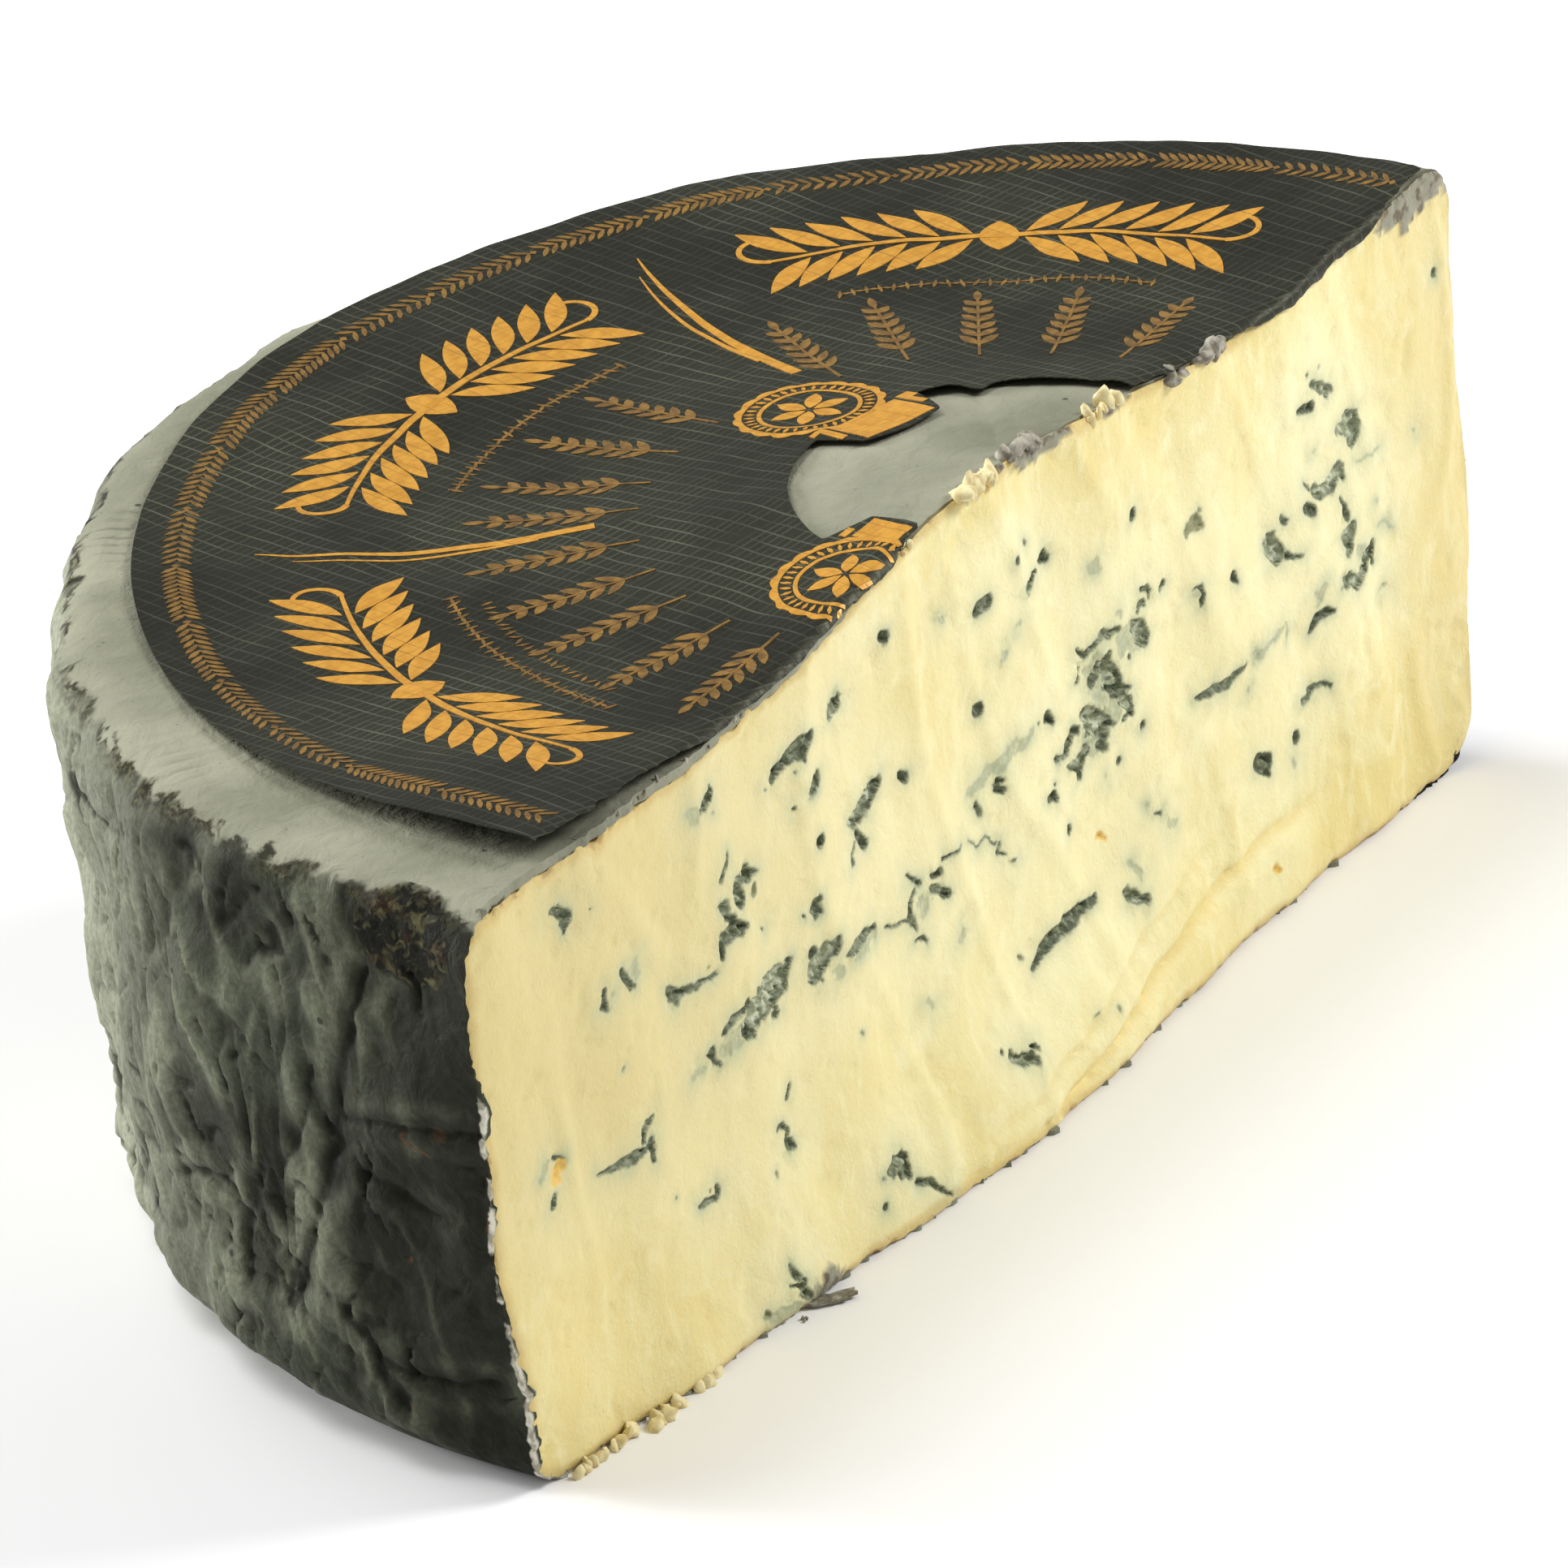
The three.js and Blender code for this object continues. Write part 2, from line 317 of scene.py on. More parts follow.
def triangulate(rim: Array, inside: Array) -> tuple[Array, Array, Array]:
    """Fills a closed outline with triangles through given points.

    Args:
        rim: The outline's points, anticlockwise.
        inside: Points inside it.

    Returns:
        The points, the triangles, and the rim's points' numbers.
    """
    points = np.concatenate([rim, inside])
    flat = [Vector(point) for point in points.tolist()]
    out, _, faces, origins, _, owners = delaunay_2d_cdt(flat, [], [list(range(len(rim)))], 1, 1e-6, True)
    numbers = np.full(len(points), -1)
    for new, olds in enumerate(origins):
        numbers[olds] = new
    kept = [face for face, owner in zip(faces, owners) if owner]
    return np.array([tuple(point) for point in out]), np.array(kept), numbers[: len(rim)]


def polar(radius: Array | float, degrees: Array | float) -> Array:
    """Points by radius and angle round the origin."""
    turn = np.radians(degrees)
    return np.stack(np.broadcast_arrays(radius * np.cos(turn), radius * np.sin(turn)), axis=-1)


def scatter_grid(low: Point, high: Point, step: float, seed: int = 3) -> Array:
    """A grid of points, each moved a little at random.

    Args:
        low, high: Two opposite corners.
        step: The grid's spacing.
        seed: The seed for the small moves.

    Returns:
        The points.
    """
    across, up = np.arange(low[0], high[0], step), np.arange(low[1], high[1], step)
    grid = np.stack(np.meshgrid(across, up), axis=-1).reshape(-1, 2)
    return grid + np.random.default_rng(seed).uniform(-0.22, 0.22, grid.shape) * step


@dataclass
class Sheet:
    """A closed skin: one outline filled finely on its outer side and coarsely on its inner side."""

    rim: Array
    outer_points: Array
    inner_points: Array
    margin: float

    def build(self, place: Place, outer: float, inner: float) -> tuple[Array, Array, Array, int]:
        """Makes the skin's mesh.

        Args:
            place: Gives the places in the frame for flat coordinates and a level.
            outer, inner: The levels of both sides.

        Returns:
            The corners, the triangles, the corners' flat coordinates, and how many corners are outer ones.
        """
        fine, coarse = self.outer_points, self.inner_points
        fine, coarse = (points[inside_mask(self.rim, points, self.margin)] for points in (fine, coarse))
        over, over_faces, over_rim = triangulate(self.rim, fine)
        under, under_faces, under_rim = triangulate(self.rim, coarse)
        shift = len(over)
        a, b = over_rim, np.roll(over_rim, -1)
        c, d = under_rim + shift, np.roll(under_rim, -1) + shift
        wall = np.concatenate([np.stack([a, c, b], 1), np.stack([b, c, d], 1)])
        corners = np.concatenate([place(*over.T, outer), place(*under.T, inner)])
        faces = np.concatenate([over_faces, under_faces[:, ::-1] + shift, wall])
        return corners, faces, np.concatenate([over, under]), shift


class Growth(Enum):
    """How a patch of blue mould looks on the cut."""

    CAVE = "ragged hollow with a dark edge and a mottled grey floor"
    EYE = "smooth hole of one dark colour"
    RING = "hollow with a pale floor and a dark edge"
    STREAK = "narrow dark crack"
    SMEAR = "faint stain without depth"
    OLIVE = "olive stain"
    PIT = "small yellow hole without mould"


@dataclass(frozen=True)
class Habit:
    """The numbers behind one kind of growth, in millimetres where they are lengths."""

    depth: float
    ragged: float
    mould: float = 1.0
    floor: float = 0.0
    edge: float = 0.0
    pale: float = 0.0
    halo: float = 0.0
    olive: float = 0.0
    yellow: float = 0.0


HABITS: dict[Growth, Habit] = {
    Growth.CAVE: Habit(depth=1.2, ragged=1.1, floor=0.05, edge=0.95, pale=1.0, halo=2.2),
    Growth.EYE: Habit(depth=1.1, ragged=0.4, floor=0.45, edge=0.6, halo=1.6),
    Growth.RING: Habit(depth=1.0, ragged=0.8, edge=1.0, pale=1.0, halo=2.0),
    Growth.STREAK: Habit(depth=0.8, ragged=0.7, floor=0.35, edge=0.5, pale=0.2, halo=2.2),
    Growth.SMEAR: Habit(depth=0.15, ragged=1.1, mould=0.5, pale=0.4, halo=2.6),
    Growth.OLIVE: Habit(depth=0.5, ragged=0.9, mould=0.8, floor=0.2, edge=0.3, pale=0.1, halo=0.8, olive=1.0),
    Growth.PIT: Habit(depth=0.5, ragged=0.4, mould=0.0, yellow=1.0),
}

Stop = tuple[float, float, float]


@dataclass(frozen=True)
class Chain:
    """Stops of x, height and half width, joined into a band of changing width."""

    stops: tuple[Stop, ...]

    def near(self, x: Array, z: Array, reach: float) -> Array:
        """Picks the places near the chain.

        Args:
            x, z: The places.
            reach: How far off the chain a place may be.

        Returns:
            The places' numbers.
        """
        stops = np.array(self.stops)
        low, high = stops.min(axis=0) - reach, stops.max(axis=0) + reach
        return np.flatnonzero((x > low[0]) & (x < high[0]) & (z > low[1]) & (z < high[1]))

    def field(self, x: Array, z: Array) -> Array:
        """How far inside the chain each place is.

        Args:
            x, z: The places.

        Returns:
            Distances, above 0 inside.
        """
        best = np.full(len(x), FAR_OFF)
        for (xa, za, wide_a), (xb, zb, wide_b) in zip(self.stops, self.stops[1:] or self.stops):
            square = max((xb - xa) ** 2 + (zb - za) ** 2, 1e-9)
            part = np.clip(((x - xa) * (xb - xa) + (z - za) * (zb - za)) / square, 0, 1)
            away = np.hypot(x - xa - part * (xb - xa), z - za - part * (zb - za))
            best = np.maximum(best, 0.9 * (wide_a + (wide_b - wide_a) * part) - away)
        return best


# The mould on the cut: for each kind its chains, with x, height and half width at each stop
VEINS: dict[Growth, tuple[tuple[Stop, ...], ...]] = {
    Growth.CAVE: (
        ((-84.3, 63, .35), (-82.8, 62.6, .9), (-81.8, 61.9, .95), (-82.3, 60.6, .3)),
        ((-55.6, 62, .7), (-54.3, 62, 1), (-53.2, 62.4, .8), (-53.4, 63.4, .35)),
        ((-50.5, 51, .8), (-48.4, 51.2, .9), (-46.8, 50.6, .9), (-45.7, 50.2, .35)),
        ((-50.6, 50.8, .8), (-49.8, 49.2, 1.2), (-49.4, 48.4, .9)),
        ((-53.3, 49.8, .9), (-52.6, 48.4, .8), (-51.6, 47.6, .8)), ((-75.8, 50.2, .5), (-76.2, 48.8, .7)),
        ((-28.6, 61, .9), (-27, 61.2, .9)), ((-34.6, 54.4, .8), (-33, 55.3, .8)),
        ((-26, 47.2, 1.2), (-24.8, 47.6, 1.5), (-22.6, 48, 1.1), (-20.6, 49.6, .8)),
        ((-35.8, 41.3, .8), (-35.3, 42.2, .3)), ((12.6, 58.8, .5), (11, 58.8, .55), (10.2, 57.9, .5)),
        ((-50.4, 34.8, 1.9), (-47.6, 35.8, 2.3), (-44.6, 36.6, 2.3), (-42.4, 36.4, 1.9), (-41.2, 37.4, 1)),
        ((-44.9, 33.6, .9), (-43.8, 32.8, .5)), ((-50, 33.6, .8),), ((-70.6, 31.2, .9), (-69, 32.2, .45)),
        ((-36.6, 34.6, 1.7), (-34.6, 35.6, 1.8), (-32.6, 35.8, 1)),
        ((-12.8, 32.9, .4), (-11.2, 32.2, .8), (-9.4, 31, .7)), ((2.6, 39.2, .5),),
        ((19.8, 46.4, .4), (20.3, 45.4, .6), (22.4, 46.2, .6), (24.2, 46.5, .6), (26.6, 46.2, .6)),
        ((19.6, 44.2, .4), (18.9, 43, .25)), ((21.6, 42, .7), (23.2, 43.4, .8), (24.6, 43.8, .5)),
        ((23.8, 42.8, 1.2), (24.8, 41.2, 1.5), (25.8, 39.6, 1.3)),
        ((29.8, 45.4, .9), (31, 43.6, 1.4), (32.2, 42.4, .9)),
        ((19.6, 39.2, .7), (20.8, 37.6, 1.5), (22.6, 36.2, 1.8), (24, 36.4, 1), (24.8, 35.8, .6)),
        ((22.4, 34.2, .9), (23.4, 33.4, .5)),
        ((14, 36.2, .6), (15.6, 36.4, .5), (17.4, 38, .7), (18.4, 37.6, .7)),
        ((16.6, 34.2, .5), (18, 33.6, 1.1), (19.6, 34.6, .8)), ((18, 32.6, .6),),
        ((26.6, 35.4, .5), (28.3, 35.2, .5)), ((31, 49.2, .4), (32.6, 48.4, .7), (33.2, 47.2, .5)),
        ((31, 46.8, .6), (31.8, 46.4, .5)),
        ((70.6, 32, .6), (72.2, 31.8, 1.1), (74, 31.2, 1), (75.6, 32.6, 1), (77.2, 33.6, .8)),
        ((77.2, 33.6, .8), (77.4, 31.6, .5)),
        ((-28.7, 7.4, .7), (-27.6, 8.4, .7), (-26.4, 7.8, 1.4), (-26, 6.2, .8)),
        ((-4.2, 10.2, .5), (-2.4, 8.8, .9), (-1.4, 8.4, .9), (-.4, 7.4, .5)),
        ((-.8, 9.6, .6), (.4, 9.2, .5)), ((-49.2, 3.6, .4), (-47.6, 2.6, .6), (-46.2, 1.6, .5)),
    ),
    Growth.STREAK: (
        ((-78.4, 61, .3),), ((-53.2, 60.6, .25),), ((-53.4, 52.8, .5), (-52, 53.8, .4), (-51.4, 55.1, .2)),
        ((-63.7, 44.6, .55), (-62.6, 43.5, 1), (-61, 43.4, .7), (-58.5, 43, .45), (-55.4, 42.8, .25)),
        ((-62.4, 42.4, .5),), ((-72.5, 50.9, .7), (-71.9, 49.9, .8), (-71, 48.6, .6), (-70.2, 48.2, .45)),
        ((-42.6, 58.3, .35),), ((-38.2, 54.2, .45),), ((-26.6, 44.6, .3), (-27.3, 42.6, .3)),
        ((-38, 41.4, .4),), ((10.4, 63.4, .4),), ((-86.6, 35.9, .5), (-84.9, 35.3, .4)),
        ((-87.2, 31.8, .6), (-87.3, 30.7, .7)), ((-45.2, 43.5, .35),),
        ((-55, 35.9, .45), (-52.8, 36.8, .55), (-50.2, 37.2, .5)),
        ((-57.2, 34.6, .8), (-56.6, 33.4, .5), (-55.8, 32.6, .25)),
        ((-78.8, 30.2, .25), (-76, 29.6, .6), (-72.5, 29.4, .95), (-69.6, 29.6, .5)),
        ((-69.1, 30, .35), (-69.3, 27.6, .55)), ((-36.2, 33.6, .4), (-35.3, 32.8, .3)),
        ((-30.6, 33.8, .4), (-28.8, 34, .9), (-26.8, 34.2, .8), (-24.6, 34, .7)),
        ((-21.8, 32.7, .3), (-20.5, 32.1, .25), (-19, 32, .25), (-17.4, 31.6, .3)),
        ((-17.3, 36.6, .3), (-15.4, 35.2, .5), (-14.5, 34.8, .45)),
        ((-15.6, 34.3, .4), (-16.9, 33, .55), (-16.9, 31.2, .6), (-16.1, 30.2, .3)),
        ((-16.7, 29, .3), (-15, 28.4, .5), (-14.2, 27.8, .3)),
        ((-10, 35.3, .4), (-8, 35.4, .35), (-6.2, 35.2, .25)),
        ((-4.4, 35, .12), (-2.4, 33.2, .2), (-.4, 33.4, .2), (1.3, 32, .2)),
        ((1.9, 31.6, .4), (1.4, 30.8, .3), (2.6, 30, .3)), ((4.2, 28.8, .4),),
        ((-2.4, 38.2, .5), (-1.4, 36.8, .5)), ((10.6, 42, .35),), ((30.6, 33, .7),),
        ((42, 43.9, .3), (43.2, 43.6, .45), (43.6, 42.8, .45), (42.8, 42, .4)),
        ((41.4, 31.2, .4), (44, 31.1, .7), (46.8, 30.5, .9), (48.4, 31, .5), (50.2, 31.2, .3)),
        ((28.5, 42, .45),), ((60.2, 39.9, .7), (61.8, 39.2, .5), (63.4, 38.6, .25)),
        ((59.9, 44.5, .5), (61, 43.8, .35)), ((64.8, 46.6, .25), (65.8, 45.6, .25)),
        ((71.8, 41.6, .3), (72.6, 39.4, .7)),
        ((-61.4, 18.3, .3), (-59.6, 18.2, .5), (-57.8, 17.8, .6), (-57.6, 19, .6)), ((-59, 19.2, .3),),
        ((-46, 20.4, .35), (-44.8, 20, .6), (-43.9, 19.2, .5), (-44.6, 17.9, .5), (-43.4, 17.4, .7)),
        ((-24.8, 4.8, .6), (-22.8, 3.8, .6), (-21, 2.3, .45), (-20, 1.2, .25)), ((-30.7, 4.5, .35),),
        ((-29.8, 7.3, .25),), ((-48.8, 6, .5), (-48, 4.2, .5), (-46.8, 3.2, .35)),
        ((31.6, 22.2, .3), (32.8, 21.4, .45)),
        ((62.4, 21.6, .7), (64.2, 22.1, .5), (66.4, 22.1, .35), (67.6, 21, .3)),
    ),
    Growth.SMEAR: (
        ((-57.2, 62, 1.2),), ((-74.2, 49.2, .6),), ((-70.2, 50, 1.5),), ((-6.2, 61.8, .5),),
        ((8.3, 54.6, .6),), ((5.2, 52.6, .8),), ((22.8, 55.2, 1.1),), ((-88.5, 35.7, 1.2),),
        ((-54.5, 34.2, 1.5), (-52.3, 34.4, 1.4)), ((-60.6, 33.4, .5), (-58.8, 33.4, .4)),
        ((-32.5, 32.4, 1),), ((-28.8, 32.8, .6), (-24.5, 33.2, .9)), ((-14.4, 32, 1.4),),
        ((-3, 40, .6), (1, 40.7, 1.1), (5, 41.2, 1), (9, 41.7, .6)), ((-7.6, 25.4, 1),), ((23.8, 29.8, .4),),
        ((42.6, 43, .6),), ((52, 31.2, .7), (56, 31.8, .5), (58.4, 31.8, .4)),
        ((59, 32.4, .3), (59.8, 30.8, .4)), ((22.6, 42.6, 2.4), (25, 38.6, 2.8), (21, 35.6, 2.4)),
        ((27.6, 44.6, 1.8), (30.6, 43.6, 1.9)), ((27.2, 37, .8),), ((26.6, 48, .5),), ((74.8, 34.2, .9),),
        ((76, 44.4, .25), (78, 44.2, .3), (80.4, 44.1, .35)), ((78.8, 38.5, .4),),
        ((79.4, 35.6, .3), (81.6, 34.4, .3)), ((80, 27.4, .6),), ((88.3, 42.5, .4),), ((67.1, 48.8, .4),),
        ((-14.8, 20.8, .5), (-14.3, 19.8, .3)), ((-52.4, 1.6, .8), (-48.2, 1.2, .9)),
        ((26.8, 18, .6), (27.6, 16.4, .5)), ((30.6, 23.2, .5),), ((34, 20, .35), (35.6, 19, .5)),
        ((51.6, 28.2, .5),), ((65.6, 32.4, .8), (67.2, 33.6, .5)), ((59.8, 15.4, .6),),
    ),
    Growth.EYE: (
        ((-53.6, 45.9, .9), (-51.6, 46.4, 1.3), (-49.8, 45.6, .9), (-48.6, 45.4, .5)),
        ((-53.8, 45.4, .6), (-54, 43.9, .45)),
        ((-40.9, 58.8, .7), (-38.4, 59.9, 1), (-35.6, 60.2, 1.6), (-33.4, 60.4, .9)), ((-35.6, 58.6, .4),),
        ((-37.2, 57.9, .25),), ((-18.2, 65.1, .8), (-17.3, 64.5, .8)), ((.6, 59.9, 1.1), (2.4, 60.1, .95)),
        ((-33.7, 48.4, 1),), ((-25.6, 45.4, .8), (-24.3, 43.6, .9)), ((-16.6, 48.3, .7), (-15.8, 47.6, .8)),
        ((-.2, 48.5, 1.1),), ((7.9, 62.5, .65),), ((14.3, 60.1, 1.1), (15, 59.4, .8)), ((30.8, 57.9, .85),),
        ((64.4, 55.3, .4), (65.8, 55.1, .8), (67.2, 54.8, .8)), ((95, 58.5, .8),), ((-36.8, 36.8, .9),),
        ((-12, 34.3, .5), (-10.6, 34.2, .6)), ((2, 38.3, .6), (2.8, 37.6, .6)),
        ((12.6, 41.8, 1), (13.8, 40.7, .4)), ((11.2, 32.8, .5), (12.4, 32.6, .8), (13, 31.9, .5)),
        ((12.9, 33.8, .3),), ((26.1, 30.7, .5),), ((15.2, 27.3, .75),),
        ((24.6, 40, .5), (25.4, 39, .8), (27.2, 38.9, .6), (28.3, 38.6, .3)),
        ((35.6, 46.9, .4), (36.4, 47.2, .6)), ((49.5, 42.3, .8), (50.2, 41.2, .3)),
        ((64.6, 43.8, .8), (66, 42.8, .9)), ((-43.4, 22.8, .5), (-42.7, 23.7, .45)), ((-5.6, 11.2, .4),),
        ((5, 15.6, .4), (6.8, 16.4, .8), (9.4, 17.2, 1.05), (12.6, 17.4, 1.05), (15.4, 17.5, .85),
         (19.4, 17.5, .45)), ((64.4, 29, .5), (65.6, 30.2, .9), (67.4, 30.2, .6), (68.6, 29.8, .4)),
        ((52.6, 18.6, 1.3), (54, 17.8, 1.4), (54.4, 16.6, .6)), ((60.5, 18.1, .95),),
    ),
    Growth.OLIVE: (
        ((-46.6, 48.4, .8),), ((-56.5, 44.3, .25),), ((41.2, 50.9, .6), (43.2, 51.4, 1), (44.6, 50.2, .5)),
        ((44, 52.6, .4),), ((66.6, 58.6, .4),), ((69.4, 58.6, .25),), ((-74.1, 40.5, .4),),
        ((-65.8, 21.6, .3),), ((-47.7, 16, .4),), ((-29, 23.6, .35),), ((-53.4, 2.2, .8),),
        ((3.6, 17.6, .4),), ((12.3, 7.6, .4),), ((16.2, 6.3, .4),),
    ),
    Growth.RING: (
        ((67.4, 57.2, .5), (68.8, 56.4, .9), (70.8, 55.2, .9), (71.8, 54.6, .5)),
        ((27, 37.8, 1.2), (27.8, 36.6, 1.1)), ((57.6, 42.6, 1.4), (58.6, 41, 1.5)),
        ((66.4, 45, .7), (68.2, 44.2, 1.2), (70.4, 44.4, 1.2), (72.4, 45.2, .9), (72.8, 43.8, .6)),
        ((72.8, 49.4, .7), (74.6, 49.4, 1.6), (76.2, 49.6, 1.2), (75.4, 47.2, 1.2)),
        ((72, 37.2, 1.1), (73.4, 37.6, 1.2), (72.6, 35.2, .8)),
        ((25, 15.4, .75), (26.2, 14.6, .95), (28, 13.5, .65)),
    ),
    Growth.PIT: (
        ((-85.4, 34.5, .9), (-86.9, 33.4, .7), (-85.8, 32.9, .4)), ((21.8, 23.6, .6), (22.8, 22.8, .4)),
        ((52.8, 6, .6), (53.6, 5.2, .5)),
    ),
}


@dataclass
class CutFace:
    """The relief and the colours of the cut, as values over x and z in the frame."""

    form: WheelForm
    warp: float = 0.62
    fine_warp: float = 0.24
    flaps: tuple[tuple[float, float, float, float], ...] = (
        (93, 70.5, 10, 4.6),
        (14.5, 73.2, 6, 1.7),
        (30.5, 72.2, 4.5, 1.6),
        (-43, 0.4, 3.8, 2.6),
    )
    edge_width: float = 0.28
    edge_band: float = 0.24
    wall_slope: float = 0.7
    fringe: float = 0.58
    blotch_dark: float = 0.34
    glow_spread: float = 4.5

    def torn(self, x: Array, z: Array, ragged: float) -> tuple[Array, Array]:
        """Bends coordinates, so that smooth chains get ragged edges.

        Args:
            x, z: Place on the cut.
            ragged: How strongly.

        Returns:
            The bent coordinates.
        """
        moved = []
        for base, seed in ((x, 11), (z, 31)):
            broad = MEDIUM.at(x / 2.2, z / 2.2, seed)
            fine = FINE.layered(x / 0.9, z / 0.9, seed, 2)
            moved.append(base + ragged * (self.warp * broad + self.fine_warp * fine))
        return moved[0], moved[1]

    def growth(self, x: Array, z: Array) -> dict[str, Array]:
        """Adds up all patches of mould.

        Args:
            x, z: Place on the cut.

        Returns:
            Named values: near, depth, mould, dark, pale, halo, olive and yellow.
        """
        names = ("depth", "mould", "dark", "pale", "halo", "olive", "yellow")
        out = {name: np.zeros(len(x)) for name in names}
        out["near"] = np.full(len(x), FAR_OFF)
        for kind, chains in VEINS.items():
            for stops in chains:
                close = Chain(stops).near(x, z, 2.5 * HABITS[kind].halo + 2)
                for name, value in self.patch(HABITS[kind], Chain(stops), x[close], z[close]).items():
                    out[name][close] = np.maximum(out[name][close], value)
        return out

    def patch(self, habit: Habit, chain: Chain, x: Array, z: Array) -> dict[str, Array]:
        """One patch of mould.

        Args:
            habit: How it grows.
            chain: Where it grows.
            x, z: Place on the cut.

        Returns:
            The same named values as growth.
        """
        inside = chain.field(*self.torn(x, z, habit.ragged))
        mask = ease(inside / self.edge_width + 0.5)
        lumps = 0.75 + 0.6 * FINE.layered(x, z, 5, 2)
        blotch = ease((FINE.layered(x / 1.3, z / 1.3, 9, 3) - 0.12) / 0.2)
        spots = ease((FINE.layered(x / 0.9, z / 0.9, 17, 2) + 0.12) / 0.25)
        edge = bell(np.maximum(inside - 0.1, 0), self.edge_band)
        wander = 0.75 + 0.5 * MEDIUM.at(x / 1.9, z / 1.9, 13)
        dark = habit.floor + self.blotch_dark * blotch * (habit.floor > 0) + habit.edge * edge * wander
        fringe = np.exp(-np.maximum(-inside, 0) / (self.fringe * habit.halo)) if habit.halo else mask * 0
        return {
            "depth": habit.depth * ease(inside / self.wall_slope + 0.1) * lumps,
            "mould": habit.mould * mask,
            "dark": mask * np.clip(dark, 0, 1),
            "pale": mask * habit.pale * spots * (1 - edge),
            "halo": fringe * (0.75 + 0.5 * MEDIUM.at(x / 2.6, z / 2.6, 15)),
            "olive": habit.olive * mask,
            "yellow": habit.yellow * mask,
            "near": inside,
        }

    def relief(self, x: Array, z: Array) -> Array:
        """The knife's marks, the crease above the slumped foot and torn places.

        Args:
            x, z: Place on the cut.

        Returns:
            How far the surface goes back.
        """
        lean = x + 0.22 * z
        drag = 0.238 * MEDIUM.layered(lean / 8, z / 26, 1.5, 2)
        ridges = 0.36 * bell(MEDIUM.at(lean / 22, z / 60, 7), 0.06)
        broad = 0.45 * BROAD.at(x / 17, z / 14, 4)
        chatter = 0.05 * FINE.at(x / 3.4 + z / 2.6, (z - x) / 9, 2)
        pores = 0.03 * FINE.layered(x / 0.9, z, 2, 2)
        flakes = 0.22 * ease((MEDIUM.layered(x / 6, z / 4, 21, 3) - 0.42) / 0.12)
        fold, swell = self.creases(x, z)
        return drag - ridges + broad + chatter + pores + flakes + 0.8 * fold - 0.5 * swell

    def creases(self, x: Array, z: Array) -> tuple[Array, Array]:
        """The creases above the slumped foot, and the swellings under them.

        Args:
            x, z: Place on the cut.

        Returns:
            Two values that are 1 in the middle of a crease and of a swelling.
        """
        there = ease((x + 42) / 18) * (1 - ease((x - 56) / 14))
        wander = 0.5 * MEDIUM.at(x / 7, 4, 3)
        first = z - (1 + 8.5 * ease((x + 6) / 62)) - wander
        second = z - (4.2 + 9.5 * ease((x + 4) / 52)) - 1.6 * wander
        there_too = 0.6 * ease((x + 22) / 16) * (1 - ease((x - 38) / 12))
        fold = there * bell(first, 0.55) + there_too * bell(second, 0.5)
        return fold, there * bell(first + 2.1, 1.3) + there_too * bell(second + 1.8, 1.1)

    def flap(self, x: Array, z: Array) -> Array:
        """Where torn rind lies over the cut.

        Args:
            x, z: Place on the cut.

        Returns:
            Values from 0 to 1.
        """
        ragged = 0.3 * MEDIUM.layered(x / 2.4, z / 2.4, 8, 3)
        masks = [1 - np.hypot((x - a) / wide, (z - b) / high) + ragged for a, b, wide, high in self.flaps]
        return ease(np.max(masks, axis=0) / 0.12)

    def glow(self, x: Array, z: Array) -> Array:
        """How much mould grows within a few millimetres, where the paste is paler.

        Args:
            x, z: Place on the cut.

        Returns:
            Values from 0 to 1.
        """
        total = np.zeros(len(x))
        for chains in VEINS.values():
            for a, b, wide in (stop for stops in chains for stop in stops):
                total += (0.35 + 0.4 * wide) * bell(np.hypot(x - a, z - b), self.glow_spread)
        return 1 - np.exp(-0.9 * total)


# The wall's deepest creases: length round the wall, height and half width at each stop
SEAMS: tuple[tuple[Stop, ...], ...] = (
    ((296.5, 60, .4), (293, 49, .5), (291.5, 45, .8), (290.5, 40.5, .6), (287, 31, .5), (283, 23, .4),
     (278, 14, .3)),
    ((290, 40.5, .4), (299, 43, .5), (306, 44, .4), (310, 44, .2)),
    ((275.5, 29.5, .7), (271, 21, .4), (269.5, 13.5, .3)),
    ((277.5, 30, .3), (278.5, 24, .4), (277.5, 14, .3)),
    ((294, 35.5, .4), (299, 33.5, .5), (303.5, 32.5, .3)),
    ((288.5, 17.5, .3), (292, 12.5, .7), (300, 11.5, .4), (307, 12.5, .3)), ((292, 12.5, .6), (295, 8, .6)),
    ((258, 22.5, .4), (264.5, 25, .3), (269.5, 24.5, .3)),
    ((280.5, 32, .4), (285, 38.5, .3), (287.5, 46, .2)),
)


